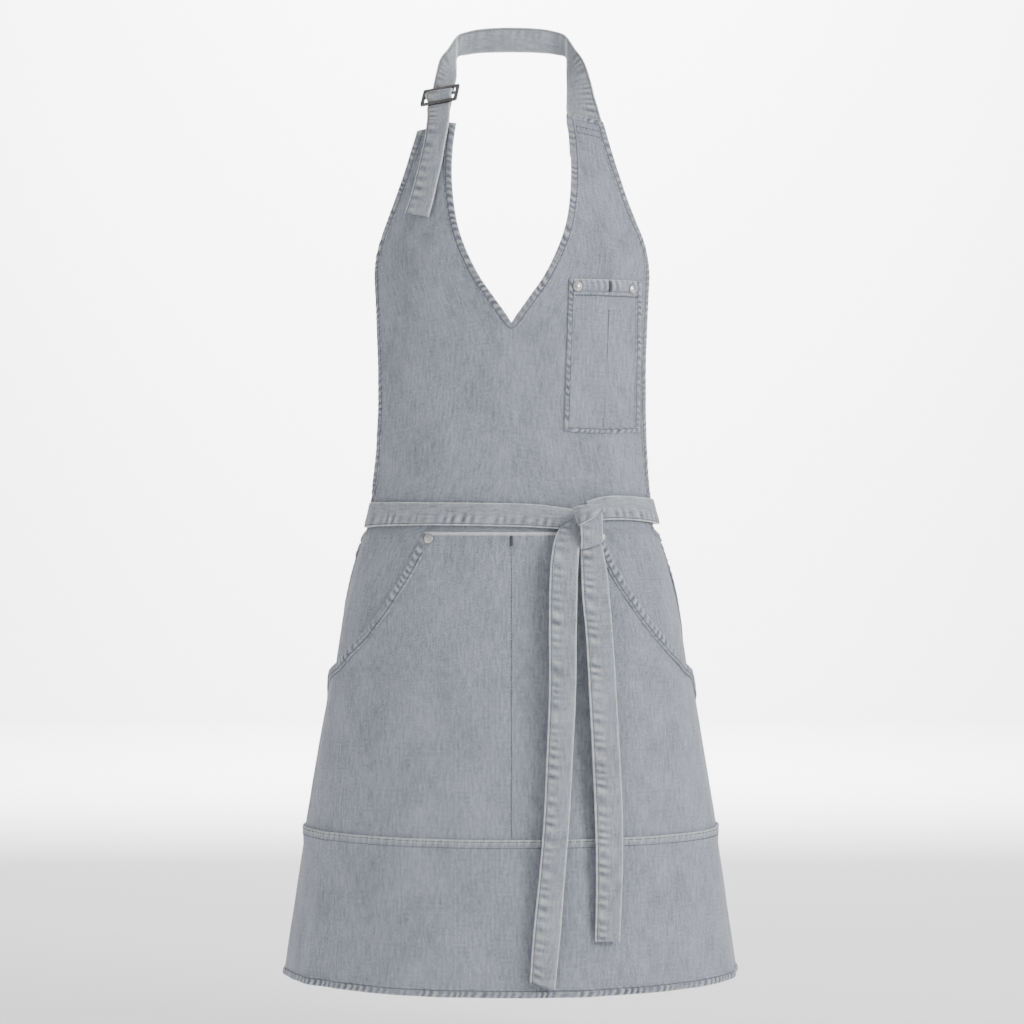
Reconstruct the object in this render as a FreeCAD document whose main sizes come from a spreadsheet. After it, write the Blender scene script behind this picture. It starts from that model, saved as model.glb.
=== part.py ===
import FreeCAD, Part
import math
import os

import Sketcher
from FreeCAD import Placement, Rotation, Vector

# A bib apron in millimetres: +Z up, +X the wearer's left, -Y the front. The origin is on the inner face of the
# neck strap, at the middle of the back of the neck. Every cloth panel is a shell that follows one worn form,
# a stack of ellipses, at its own distance from it.

doc = FreeCAD.newDocument("bib_apron")
sheet = doc.addObject("Spreadsheet::Sheet", "Dims")

# ---------------------------------------------------------------- driving dimensions

# The worn form: level, half width, half depth, centre in Y.
FORM = {
    "throat": (-90, 150, 75, -60),
    "chest": (-180, 150, 98, -60),
    "bust": (-275, 153, 120, -60),
    "ribs": (-385, 150, 105, -68),
    "waist": (-500, 144, 88, -76),
    "belly": (-545, 158, 98, -74),
    "hip": (-593, 171, 116, -66),
    "thigh": (-697, 191, 138, -60),
    "band_seam": (-826, 214.5, 155, -60),
    "hem": (-985, 236, 173, -60),
}

# Outline points of the right-hand half, as (x, z), seen from the front.
OUTLINE = {
    "neck_v": (0, -310.5),
    "neck_low": (29.5, -269),
    "neck_mid": (55.2, -207),
    "neck_top": (55.5, -104.5),
    "neck_v_in": (0, -322),
    "neck_low_in": (37, -274),
    "neck_mid_in": (64, -208.8),
    "neck_top_in": (64.5, -105.9),
    "arm_top": (95, -110.8),
    "arm_slope": (129.7, -213.5),
    "arm_bust": (139.3, -262),
    "arm_ribs": (135.6, -340),
    "arm_waist": (141.8, -489),
    "arm_foot": (144, -516.5),
    "arm_top_in": (86.4, -109.4),
    "arm_slope_in": (121.2, -216.5),
    "arm_bust_in": (130.3, -262.5),
    "arm_ribs_in": (126.6, -340),
    "arm_waist_in": (132.8, -489),
    "arm_foot_in": (135, -516.5),
    "patch_low": (66, -137),
    "patch_out": (93, -141),
    "patch_top": (88, -114),
    "patch_in": (62, -110),
    "chest_a": (58.7, -268),
    "chest_b": (130.8, -266.5),
    "chest_c": (128.6, -417.8),
    "chest_d": (53.8, -419),
    "mouth_a": (73, -255),
    "mouth_b": (117, -255),
    "mouth_c": (117, -281),
    "mouth_d": (127, -284),
    "mouth_e": (125.6, -414.8),
    "mouth_f": (57, -416),
    "mouth_g": (61, -284),
    "mouth_h": (73, -281),
    "hand_top": (91, -521),
    "hand_side": (184, -664),
    "hand_past": (215, -695),
    "hand_out": (280, -695),
    "hand_base": (280, -825.6),
    "hand_top_in": (82, -524),
    "hand_side_in": (176, -669),
    "hand_past_in": (207, -701),
    "bag_a": (2, -528),
    "bag_b": (74, -528),
    "bag_c": (74, -542),
    "bag_d": (140, -545),
    "bag_e": (280, -600),
    "bag_f": (280, -820),
    "bag_g": (2, -820),
}

# The skirt's side edge seen from the side, as (y, z), from under the waist tie to the hem.
SIDE_EDGE = {
    "edge_top": (-92, -530),
    "edge_belly": (-68, -565),
    "edge_hip": (-45, -640),
    "edge_thigh": (-20, -760),
    "edge_hem": (10, -978),
}

# Distances of each layer from the form, inner face then outer face.
LAYERS = {
    "facing": (-1.4, -0.2),
    "patch": (-3.2, -1.7),
    "panel": (0, 1.5),
    "under_tie": (1.8, 3.0),
    "over_tie": (3.3, 4.5),
    "chest_bag": (1.8, 11.5),
    "chest_wall": (11.5, 12.8),
}

# How far the inner face of the waist pocket's front stands off the form at each level.
POCKET_SWELL = {
    "throat": 3,
    "chest": 3,
    "bust": 3,
    "ribs": 3,
    "waist": 3,
    "belly": 7,
    "hip": 13.5,
    "thigh": 14.5,
    "band_seam": 4.5,
    "hem": 4.5,
}

SIZES = {
    "neck_low_arc": 195.5,
    "neck_top_arc": 273.8,
    "arm_slope_arc": 731.8,
    "arm_bust_arc": 114,
    "arm_waist_arc": 1030,
    "hand_arc": 298,
    "side_hem_width": 10,
    "pad_front": 260,
    "front_start": -89,
    "pad_side": 700,
    "pocket_cloth": 1.3,
    "pocket_base": 1.8,
    "fold_gap": 0.2,
    "band_top": -826,
    "hem_edge": -978,
    "fold_top": -969,
    "seam_gap": 0.3,
    "skirt_top": -518.5,
    "over_skirt": -458,
    "under_hem": -998,
    "pocket_edge_in": -2,
    "pocket_hollow_in": -8,
    "swing_front": -168,
    "swing_slope": 0.151,
    "tie_top": -490.3,
    "tie_foot": -517.5,
    "tie_back_line": -92,
    "under_tie_end": 92,
    "over_tie_end": 60.5,
    "strap_width": 25,
    "strap_thick": 1.6,
    "loop_thick": 2,
    "tail_length": 96,
    "buckle_width": 38.3,
    "buckle_height": 23.7,
    "buckle_thick": 2.2,
    "buckle_bar": 3,
    "buckle_corner": 2.4,
    "centre_bar": 2.6,
    "tab_thick": 1.8,
    "tab_inset": 0.5,
    "tab_inner": 1.9,
    "tab_outer": 2.9,
    "cloth_gap": 0.1,
    "rivet_radius": 4.8,
    "rivet_rim": 0.5,
    "rivet_height": 1.7,
    "shank_radius": 1.3,
    "washer_radius": 3.4,
    "washer_thick": 0.9,
    "tack_width": 2.4,
    "tack_length": 11,
    "tack_thick": 0.8,
    "end_width": 27,
    "end_thick": 2.4,
    "knot_width": 29,
}

rows = 0


def dim(name, value):
    """One named number on the sheet."""
    global rows
    rows += 1
    sheet.set(f"A{rows}", name)
    sheet.set(f"B{rows}", str(value))
    sheet.setAlias(f"B{rows}", name)


for station, (level, half_width, half_depth, centre) in FORM.items():
    dim(f"{station}_level", level)
    dim(f"{station}_half_width", half_width)
    dim(f"{station}_half_depth", half_depth)
    dim(f"{station}_centre", centre)
    dim(f"{station}_swell", POCKET_SWELL[station])
for point, (across, up) in {**OUTLINE, **SIDE_EDGE}.items():
    dim(f"{point}_across", across)
    dim(f"{point}_up", up)
for layer, (inner, outer) in LAYERS.items():
    dim(f"{layer}_inner", inner)
    dim(f"{layer}_outer", outer)
for size_name, size in SIZES.items():
    dim(size_name, size)
doc.recompute()


def get(name):
    return float(sheet.get(name))


# ---------------------------------------------------------------- shared building steps


def form(name, grow):
    """The worn form grown outwards; grow is an expression, with STATION standing for the level's name."""
    rings = []
    for station in FORM:
        ring = doc.addObject("Part::Ellipse", f"{name}_{station}")
        away = grow.replace("STATION", station)
        ring.setExpression("MajorRadius", f"Dims.{station}_half_width + {away}")
        ring.setExpression("MinorRadius", f"Dims.{station}_half_depth + {away}")
        ring.setExpression("Placement.Base.y", f"Dims.{station}_centre")
        ring.setExpression("Placement.Base.z", f"Dims.{station}_level")
        rings.append(ring)
    loft = doc.addObject("Part::Loft", name)
    loft.Sections = rings
    loft.Solid = True
    loft.Ruled = True
    return loft


def cut(name, base, tool):
    result = doc.addObject("Part::Cut", name)
    result.Base, result.Tool, result.Refine = base, tool, False
    return result


def common(name, base, tool):
    result = doc.addObject("Part::Common", name)
    result.Base, result.Tool, result.Refine = base, tool, False
    return result


def fuse(name, shapes):
    result = doc.addObject("Part::MultiFuse", name)
    result.Shapes = shapes
    return result


def layer_shell(layer):
    """The whole shell between a layer's two distances from the form."""
    outer = form(f"{layer}_outer_form", f"Dims.{layer}_outer")
    inner = form(f"{layer}_inner_form", f"Dims.{layer}_inner")
    return cut(f"{layer}_shell", outer, inner)


def arc_between(start, end, radius, bulge):
    """The shorter arc between two points and whether it runs backwards, because a sketch keeps arcs anticlockwise.
    bulge is +1 when the arc stands out to the right of the way walked, -1 when to the left."""
    chord = end - start
    left = Vector(-chord.y, chord.x, 0).normalize()
    centre = (start + end) * 0.5 + left * math.sqrt(radius**2 - (chord.Length / 2) ** 2) * bulge
    first, last = (start, end) if bulge > 0 else (end, start)
    angles = [math.atan2(spot.y - centre.y, spot.x - centre.x) for spot in (first, last)]
    if angles[1] < angles[0]:
        angles[1] += 2 * math.pi
    return Part.ArcOfCircle(Part.Circle(centre, Vector(0, 0, 1), radius), *angles), bulge < 0


def outline(body, plane, name, loops):
    """A sketch on one of the body's own planes. A loop is a list of (across, up, arc), each an expression, where
    arc is None for a straight edge to the next point or (radius cell, bulge) for an arc."""
    sketch = body.newObject("Sketcher::SketchObject", name)
    origin_plane = next(item for item in body.Origin.OriginFeatures if item.Role == plane)
    sketch.AttachmentSupport = [(origin_plane, "")]
    sketch.MapMode = "FlatFace"

    def value(expression):
        return float(sketch.evalExpression(str(expression)))

    for loop in loops:
        spots = [Vector(value(across), value(up), 0) for across, up, _ in loop]
        ends = []
        for index, (_, _, arc) in enumerate(loop):
            start, end = spots[index], spots[(index + 1) % len(spots)]
            if arc is None:
                edge = sketch.addGeometry(Part.LineSegment(start, end), False)
                ends.append((edge, 1, 2))
            else:
                curve, flipped = arc_between(start, end, get(arc[0]), arc[1])
                edge = sketch.addGeometry(curve, False)
                ends.append((edge, 2, 1) if flipped else (edge, 1, 2))
                tie = sketch.addConstraint(Sketcher.Constraint("Radius", edge, get(arc[0])))
                sketch.setExpression(f"Constraints[{tie}]", f"Dims.{arc[0]}")
        for index, (edge, _, last) in enumerate(ends):
            following, first, _ = ends[(index + 1) % len(ends)]
            sketch.addConstraint(Sketcher.Constraint("Coincident", edge, last, following, first))
        for (edge, first, _), (across, up, _) in zip(ends, loop):
            for kind, expression in (("DistanceX", across), ("DistanceY", up)):
                tie = sketch.addConstraint(Sketcher.Constraint(kind, edge, first, value(expression)))
                if "Dims." in str(expression):
                    sketch.setExpression(f"Constraints[{tie}]", expression)
    return sketch


def padded(name, plane, loops, length, both_ways=False, offset_y=None):
    """A body whose outline is padded by a length from the sheet."""
    body = doc.addObject("PartDesign::Body", name)
    sketch = outline(body, plane, f"{name}_outline", loops)
    pad = body.newObject("PartDesign::Pad", f"{name}_pad")
    pad.Profile = sketch
    pad.setExpression("Length", length)
    if both_ways:
        pad.SideType = "Symmetric"
    if offset_y:
        body.setExpression("Placement.Base.y", offset_y)
    return body


def at(point, side=1, arc=None):
    """A named outline point, mirrored to the other half when side is -1."""
    sign = "-" if side < 0 else ""
    return (f"{sign}Dims.{point}_across", f"Dims.{point}_up", arc)


def front_prism(name, loops):
    """An outline drawn from the front, run forwards from the line where the tie is sewn on at the sides."""
    return padded(name, "XZ_Plane", loops, "Dims.pad_front", offset_y="Dims.front_start")


def side_prism(name, loops):
    """An outline drawn from the side, run right through the apron."""
    return padded(name, "YZ_Plane", loops, "Dims.pad_side", both_ways=True)


pieces = {}


def piece(node, shape_object):
    """Names one sub-part; its label names its file."""
    shape_object.Label = node
    pieces[node] = shape_object
    return shape_object


# ---------------------------------------------------------------- bib

panel_shell = layer_shell("panel")
facing_shell = layer_shell("facing")

neck_right = [
    ("neck_v", None),
    ("neck_low", ("neck_low_arc", 1)),
    ("neck_mid", ("neck_top_arc", 1)),
    ("neck_top", None),
]
arm_right = [
    ("arm_top", ("arm_slope_arc", 1)),
    ("arm_slope", ("arm_bust_arc", -1)),
    ("arm_bust", None),
    ("arm_ribs", ("arm_waist_arc", 1)),
    ("arm_waist", None),
    ("arm_foot", None),
]
right_half = [at(point, 1, arc) for point, arc in neck_right + arm_right]
left_half = []
walk = neck_right + arm_right
for index in range(len(walk) - 1, 0, -1):
    left_half.append(at(walk[index][0], -1, walk[index - 1][1]))
bib_outline = front_prism("bib_outline", [right_half + left_half])
piece("bib_panel", common("bib", panel_shell, bib_outline))


def strip(outer, inner, side):
    """A loop along one run of points and back along the run beside it; arcs keep to both runs."""
    forward = [at(point, side, arc and (arc[0], arc[1] * side)) for point, arc in outer]
    back = []
    for index in range(len(inner) - 1, -1, -1):
        arc = inner[index - 1][1] if index else None
        back.append(at(inner[index][0], side, arc and (arc[0], -arc[1] * side)))
    return forward[:-1] + [(forward[-1][0], forward[-1][1], None)] + back


neck_in = [(f"{point}_in", arc) for point, arc in neck_right]
arm_in = [(f"{point}_in", arc) for point, arc in arm_right]
for label, side in (("left", -1), ("right", 1)):
    arm_strip = front_prism(f"armhole_strip_{label}", [strip(arm_right, arm_in, side)])
    piece(f"armhole_facing_{label}", common(f"armhole_{label}", facing_shell, arm_strip))


def back_along(run, side, bulge):
    """The same run of points walked the other way; each arc belongs to the point before it."""
    loop = []
    for index in range(len(run) - 1, 0, -1):
        arc = run[index - 1][1]
        loop.append(at(run[index][0], side, arc and (arc[0], bulge)))
    return loop


neck_loop = [at(point, 1, arc) for point, arc in neck_right]
neck_loop += back_along(neck_in, 1, -1)
neck_loop.append(at("neck_v_in"))
neck_loop += [at(point, -1, arc and (arc[0], -1)) for point, arc in neck_in[1:]]
neck_loop += back_along(neck_right, -1, 1)
piece("neckline_facing", common("neckline", facing_shell, front_prism("neckline_strip", [neck_loop])))

patch_outline = front_prism("patch_outline", [[at(f"patch_{end}") for end in ("low", "out", "top", "in")]])
piece("strap_seam_patch", common("strap_patch", layer_shell("patch"), patch_outline))

# ---------------------------------------------------------------- chest pocket

chest_outline = front_prism("chest_outline", [[at(f"chest_{corner}") for corner in "abcd"]])
chest_mouth = front_prism("chest_mouth", [[at(f"mouth_{corner}") for corner in "abcdefgh"]])
chest_body = common("chest_block", form("chest_wall_form", "Dims.chest_wall_outer"), chest_outline)
chest_bag = common("chest_hollow", form("chest_bag_form", "Dims.chest_bag_outer"), chest_mouth)
chest_back = form("pocket_base_form", "Dims.pocket_base")
piece("chest_pocket", cut("chest_shell", cut("chest_front", chest_body, chest_back), chest_bag))

# ---------------------------------------------------------------- skirt


def edge_loop(shift="0", top="Dims.skirt_top", foot="Dims.hem_edge"):
    """The skirt seen from the side, in front of its side edge moved by shift, as a loop of (y, z)."""
    ahead = "-Dims.pad_side / 2"
    slope = f"{top} - (Dims.edge_top_across + {shift} - Dims.swing_front) * Dims.swing_slope"
    front_top = f"{top} - (-Dims.pad_side / 2 - Dims.swing_front) * Dims.swing_slope"
    loop = [(ahead, front_top, None), (f"Dims.edge_top_across + {shift}", slope, None)]
    loop += [(f"Dims.{point}_across + {shift}", f"Dims.{point}_up", None) for point in list(SIDE_EDGE)[1:-1]]
    loop.append((f"Dims.edge_hem_across + {shift}", foot, None))
    return loop + [(ahead, foot, None)]


def level_prism(name, low, high):
    """Everything between two levels."""
    block = doc.addObject("Part::Box", name)
    for axis in ("Length", "Width"):
        block.setExpression(axis, "Dims.pad_side")
    block.setExpression("Height", f"{high} - ({low})")
    for axis in ("x", "y"):
        block.setExpression(f"Placement.Base.{axis}", "-Dims.pad_side / 2")
    block.setExpression("Placement.Base.z", low)
    return block


def half_space(name, shift):
    """A block over the skirt, from shift across."""
    block = doc.addObject("Part::Box", name)
    for axis in ("Length", "Width", "Height"):
        block.setExpression(axis, "Dims.pad_side")
    block.setExpression("Placement.Base.x", shift)
    block.setExpression("Placement.Base.y", "-Dims.pad_side / 2")
    block.setExpression("Placement.Base.z", "Dims.under_hem")
    return block


skirt_cut = side_prism("skirt_cut", [edge_loop()])
skirt_cloth = common("skirt_cloth", panel_shell, skirt_cut)
skirt_levels = level_prism("skirt_levels", "Dims.band_top + Dims.seam_gap", "Dims.over_skirt")
band_levels = level_prism("band_levels", "Dims.hem_edge", "Dims.band_top")
piece("skirt_panel", common("skirt", skirt_cloth, skirt_levels))
piece("hem_band", common("band", skirt_cloth, band_levels))

fold_levels = level_prism("fold_levels", "Dims.hem_edge", "Dims.fold_top")
lining = common("skirt_lining", facing_shell, skirt_cut)
piece("hem_fold", common("fold", lining, fold_levels))
edge_names = list(SIDE_EDGE)
hem_strip = [(f"Dims.{point}_across", f"Dims.{point}_up", None) for point in edge_names[:-1]]
hem_strip.append(("Dims.edge_hem_across", "Dims.fold_top + Dims.seam_gap", None))
inset = "- Dims.side_hem_width"
hem_strip.append((f"Dims.edge_hem_across {inset}", "Dims.fold_top + Dims.seam_gap", None))
hem_strip += [(f"Dims.{point}_across {inset}", f"Dims.{point}_up", None) for point in reversed(edge_names[:-1])]
side_hems = common("side_hems", facing_shell, side_prism("side_strip", [hem_strip]))
for label, shift in (("left", "-Dims.pad_side"), ("right", "0")):
    piece(f"side_hem_{label}", common(f"side_{label}", side_hems, half_space(f"half_{label}", shift)))

# ---------------------------------------------------------------- waist pocket

hand_half = ["hand_top", "hand_side", "hand_past", "hand_out", "hand_base"]
hand_arcs = [("hand_arc", 1), None, None, None, None]
pocket_loop = [at(point, 1, arc) for point, arc in zip(hand_half, hand_arcs)]
for index in range(len(hand_half) - 1, -1, -1):
    pocket_loop.append(at(hand_half[index], -1, hand_arcs[index - 1] if index else None))
pocket_outline = front_prism("pocket_outline", [pocket_loop])
pocket_side = side_prism("pocket_side", [edge_loop("Dims.pocket_edge_in", "Dims.over_skirt", "Dims.under_hem")])
bag_outline = front_prism("bag_outline", [[at(f"bag_{end}", side) for end in "abcdefg"] for side in (1, -1)])
bag_side = side_prism("bag_side", [edge_loop("Dims.pocket_hollow_in", "Dims.over_skirt", "Dims.under_hem")])
for body in (pocket_outline, bag_outline):
    body.setExpression("Placement.Base.y", "0")
    body.getObject(f"{body.Name}_pad").setExpression("Length", "Dims.pad_side / 2")

swell = "Dims.STATION_swell"
wall_form = form("wall_form", f"{swell} + Dims.pocket_cloth")
bag_form = form("bag_form", swell)
pocket_region = common("pocket_region", pocket_outline, pocket_side)
pocket_block = cut("pocket_block", common("pocket_solid", wall_form, pocket_region), chest_back)
bag_region = common("bag_region", bag_outline, bag_side)
bag_hollow = common("bag_hollow", bag_form, bag_region)
left_side = half_space("pocket_left_side", "-Dims.pad_side")
pocket_left = cut("pocket_left", common("pocket_left_block", pocket_block, left_side), bag_hollow)
pocket_right = doc.addObject("Part::Mirroring", "pocket_right")
pocket_right.Source = pocket_left
pocket_right.Normal = Vector(1, 0, 0)
piece("waist_pocket", fuse("pocket_wall", [pocket_left, pocket_right]))

hand_in = ["hand_top_in", "hand_side_in", "hand_past_in"]
trim_shell = cut("trim_shell", form("trim_outer_form", f"{swell} - Dims.fold_gap"),
                 form("trim_inner_form", f"{swell} - Dims.fold_gap - Dims.pocket_cloth"))
trim_cloth = common("trim_cloth", trim_shell, bag_region)
for label, side in (("left", -1), ("right", 1)):
    loop = [at("hand_top", side, ("hand_arc", side)), at("hand_side", side), at("hand_past", side)]
    loop += [at("hand_past_in", side), at("hand_side_in", side, ("hand_arc", -side)), at("hand_top_in", side)]
    strip_prism = front_prism(f"hand_strip_{label}", [loop])
    piece(f"pocket_facing_{label}", common(f"pocket_trim_{label}", trim_cloth, strip_prism))

# ---------------------------------------------------------------- waist tie

for layer, label, gap_side in (("under_tie", "left", -1), ("over_tie", "right", 1)):
    block = level_prism(f"{layer}_levels", "Dims.tie_foot", "Dims.tie_top")
    ring = common(f"{layer}_ring", layer_shell(layer), block)
    opening = doc.addObject("Part::Box", f"{layer}_opening")
    for axis in ("Length", "Width", "Height"):
        opening.setExpression(axis, "Dims.pad_side")
    start = "Dims.under_tie_end - Dims.pad_side" if gap_side < 0 else "Dims.over_tie_end"
    opening.setExpression("Placement.Base.x", start)
    opening.setExpression("Placement.Base.y", "Dims.tie_back_line - Dims.pad_side")
    opening.setExpression("Placement.Base.z", "-Dims.pad_side")
    piece(f"waist_tie_{label}", cut(f"{layer}_band", ring, opening))

# ---------------------------------------------------------------- neck strap, buckle and tab

BUCKLE_AT = Vector(-73.6, -91, -71.4)
BUCKLE_ACROSS = Vector(0.941, -0.31, 0.13)
BUCKLE_DOWN = Vector(-0.165, -0.676, -0.718)
buckle_turn = Rotation(BUCKLE_ACROSS, -BUCKLE_DOWN, BUCKLE_ACROSS.cross(-BUCKLE_DOWN), "YXZ")
buckle_place = Placement(BUCKLE_AT, buckle_turn)

# The strap's and the tab's way through the buckle, seen from the side, as (up the buckle, out of it) at the
# middle of the cloth's thickness.
STRAP_WEAVE = [(18, -4.4), (7.8, -4.4), (4.4, 2.4), (1.8, 4.0), (-1.8, 4.0), (-4.4, 2.4), (-7.8, -4.4), (-18, -4.4)]
TAB_RUN = [(-1.3, -2.3), (-6.5, -6.6), (-18, -6.6)]
JOIN_UP = 16
STRAP_BACK = -3.6
TAB_BACK = -5.7
STRAP_BEND = (-34, 2.6)

# The left-hand peak: the middle of the strap where it passes the peak, the way across it and the way it hangs.
PEAK_MIDDLE = Vector(-75, -137, -107)
TAIL_ACROSS = Vector(0.9, -0.38, -0.14).normalize()
TAIL_DOWN = Vector(-20.1, -13.4, -92.5).normalize()
TAIL_START = 2
TAB_FOOT = Vector(-75, -124.2, -103.6)

# The strap's two edges from the right-hand seam round to the middle of the back, outer edge then inner edge.
STRAP_EDGES = [
    ((92.5, -117, -104.8), (55.6, -129, -99.2)),
    ((86, -86, -73), (56.4, -93.5, -76.5)),
    ((82, -65, -51.5), (57, -71, -61)),
    ((75.8, -42, -28.7), (57.3, -47, -47)),
    ((66.5, -24, -12.5), (58, -26, -36.5)),
    ((57.5, -9, 2.7), (57.8, -9, -21)),
    ((48, -2.5, 8.3), (48, -2.5, -16.5)),
    ((30, -0.5, 12), (30, -0.5, -14)),
    ((0, 0, 13.3), (0, 0, -13.3)),
]


def in_buckle(across, up, out):
    return buckle_place.multVec(Vector(across, up, out))


def band(name, edges, thick):
    """A strap lofted through its two edges, thickened away from the neck."""
    middles = [(Vector(*outer) + Vector(*inner)) * 0.5 for outer, inner in edges]
    sections = []
    for index, (outer, inner) in enumerate(edges):
        before, after = middles[max(index - 1, 0)], middles[min(index + 1, len(edges) - 1)]
        way = (after - before).normalize()
        out = (Vector(*inner) - Vector(*outer)).cross(way).normalize() * thick
        corners = [Vector(*outer), Vector(*inner), Vector(*inner) + out, Vector(*outer) + out]
        sections.append(Part.makePolygon(corners + corners[:1]))
    solid = doc.addObject("Part::Feature", name)
    solid.Shape = Part.makeLoft(sections, True, True)
    return solid


def mirror(point):
    return (-point[0], point[1], point[2])


half_width = get("strap_width") / 2
loop_thick = get("loop_thick")
left_edges = [(mirror(outer), mirror(inner)) for outer, inner in STRAP_EDGES[3:-1]]


def edges_in_buckle(half, up, out):
    """A strap's two edges, half a width to each side of the buckle's middle."""
    return (tuple(in_buckle(-half, up, out)), tuple(in_buckle(half, up, out)))


around = STRAP_EDGES + left_edges[::-1] + [edges_in_buckle(half_width, JOIN_UP, STRAP_BACK)]
loop_band = band("strap_loop", around, loop_thick)


def buckle_body(name):
    body = doc.addObject("PartDesign::Body", name)
    body.Placement = buckle_place
    return body


def weave(name, centre_line, thick, width):
    """A strap's path through the buckle in its side view, given as the middle of its thickness."""
    offset = []
    spots = [Vector(up, out, 0) for up, out in centre_line]
    for index, spot in enumerate(spots):
        ways = [(b - a).normalize() for a, b in zip(spots, spots[1:])]
        near = ways[max(index - 1, 0): index + 1] or ways[-1:]
        normals = [Vector(-way.y, way.x, 0) for way in near]
        total = sum(normals[1:], normals[0])
        total = total.normalize()
        offset.append(total * (thick / 2 / total.dot(normals[0])))
    edge = [spot + move for spot, move in zip(spots, offset)]
    edge += [spot - move for spot, move in reversed(list(zip(spots, offset)))]
    body = buckle_body(name)
    sketch = outline(body, "YZ_Plane", f"{name}_outline", [[(spot.x, spot.y, None) for spot in edge]])
    pad = body.newObject("PartDesign::Pad", f"{name}_pad")
    pad.Profile = sketch
    pad.SideType = "Symmetric"
    pad.setExpression("Length", width)
    return body


strap_thick = get("strap_thick")
strap_weave = weave("strap_weave", STRAP_WEAVE, strap_thick, "Dims.strap_width")

neck_lower = [
    edges_in_buckle(half_width, -JOIN_UP, STRAP_BACK),
    edges_in_buckle(half_width, *STRAP_BEND),
    (tuple(PEAK_MIDDLE - TAIL_ACROSS * half_width), tuple(PEAK_MIDDLE + TAIL_ACROSS * half_width)),
]
lower_band = band("strap_lower", neck_lower, strap_thick)
piece("neck_strap", fuse("strap_whole", [loop_band, strap_weave, lower_band]))

tab_wide = "Dims.strap_width - 2 * Dims.tab_inset"
tab_weave = weave("tab_weave", TAB_RUN, get("tab_thick"), tab_wide)
tab_ring = buckle_body("tab_ring")
ring_sketch = tab_ring.newObject("Sketcher::SketchObject", "tab_ring_outline")
side_plane = next(item for item in tab_ring.Origin.OriginFeatures if item.Role == "YZ_Plane")
ring_sketch.AttachmentSupport = [(side_plane, "")]
ring_sketch.MapMode = "FlatFace"
for index, radius in enumerate(("tab_inner", "tab_outer")):
    ring_sketch.addGeometry(Part.Circle(Vector(0, 0, 0), Vector(0, 0, 1), get(radius)), False)
    ring_sketch.addConstraint(Sketcher.Constraint("Coincident", index, 3, -1, 1))
    tie = ring_sketch.addConstraint(Sketcher.Constraint("Radius", index, get(radius)))
    ring_sketch.setExpression(f"Constraints[{tie}]", f"Dims.{radius}")
ring_pad = tab_ring.newObject("PartDesign::Pad", "tab_ring_pad")
ring_pad.Profile = ring_sketch
ring_pad.SideType = "Symmetric"
ring_pad.setExpression("Length", tab_wide)
tab_half = half_width - get("tab_inset")
tab_edges = [
    edges_in_buckle(tab_half, -JOIN_UP, TAB_BACK),
    (tuple(TAB_FOOT - BUCKLE_ACROSS * tab_half), tuple(TAB_FOOT + BUCKLE_ACROSS * tab_half)),
]
tab_lower = band("tab_lower", tab_edges, get("tab_thick"))
piece("buckle_tab", fuse("tab_whole", [tab_ring, tab_weave, tab_lower]))

frame_body = buckle_body("buckle_frame")
half_wide, half_high = "Dims.buckle_width / 2", "Dims.buckle_height / 2"


def rectangle(left, right, low, high):
    return [(left, low, None), (right, low, None), (right, high, None), (left, high, None)]


rim = rectangle(f"-{half_wide}", half_wide, f"-{half_high}", half_high)
windows = []
for sign in ("", "-"):
    reach = f"{half_wide} - Dims.buckle_bar"
    low = f"{sign}Dims.centre_bar / 2"
    high = f"{sign}({half_high} - Dims.buckle_bar)"
    windows.append(rectangle(f"-({reach})", reach, low, high))
frame_sketch = outline(frame_body, "XY_Plane", "buckle_outline", [rim] + windows)
frame_pad = frame_body.newObject("PartDesign::Pad", "buckle_pad")
frame_pad.Profile = frame_sketch
frame_pad.SideType = "Symmetric"
frame_pad.setExpression("Length", "Dims.buckle_thick")
doc.recompute()


def corner_edges(shape, reach_x, reach_y):
    """The short upright edges at the outer corners."""
    found = []
    for index, edge in enumerate(shape.Edges, 1):
        middle = edge.CenterOfMass
        if abs(abs(middle.x) - reach_x) < 0.01 and abs(abs(middle.y) - reach_y) < 0.01:
            found.append(f"Edge{index}")
    return found


rounding = frame_body.newObject("PartDesign::Fillet", "buckle_corners")
rounding.Base = (frame_pad, corner_edges(frame_pad.Shape, get("buckle_width") / 2, get("buckle_height") / 2))
rounding.setExpression("Radius", "Dims.buckle_corner")
piece("slide_buckle", frame_body)

tail_turn = Rotation(TAIL_ACROSS, -TAIL_DOWN, TAIL_ACROSS.cross(-TAIL_DOWN), "YXZ")
tail_body = doc.addObject("PartDesign::Body", "tail_body")
tail_body.Placement = Placement(PEAK_MIDDLE + TAIL_DOWN * TAIL_START, tail_turn)
tail_half = "Dims.strap_width / 2"
tail_outline = rectangle(f"-{tail_half}", tail_half, "-Dims.tail_length", "0")
tail_sketch = outline(tail_body, "XY_Plane", "tail_outline", [tail_outline])
tail_pad = tail_body.newObject("PartDesign::Pad", "tail_pad")
tail_pad.Profile = tail_sketch
tail_pad.SideType = "Symmetric"
tail_pad.setExpression("Length", "Dims.strap_thick")
piece("strap_tail", tail_body)

# ---------------------------------------------------------------- knot and hanging ends


def turned_body(name, place, yaw, lean):
    """A body that faces forwards, turned with the waist and leaning as it hangs."""
    body = doc.addObject("PartDesign::Body", name)
    turn = Rotation(Vector(0, 0, 1), yaw).multiply(Rotation(Vector(0, 1, 0), lean))
    body.Placement = Placement(Vector(*place), turn)
    return body


def side_strip(name, place, yaw, lean, profile, width):
    """A strip drawn from the side and padded across."""
    body = turned_body(name, place, yaw, lean)
    sketch = outline(body, "YZ_Plane", f"{name}_outline", [[(across, up, None) for across, up in profile]])
    pad = body.newObject("PartDesign::Pad", f"{name}_pad")
    pad.Profile = sketch
    pad.SideType = "Symmetric"
    pad.setExpression("Length", width)
    return body


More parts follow.
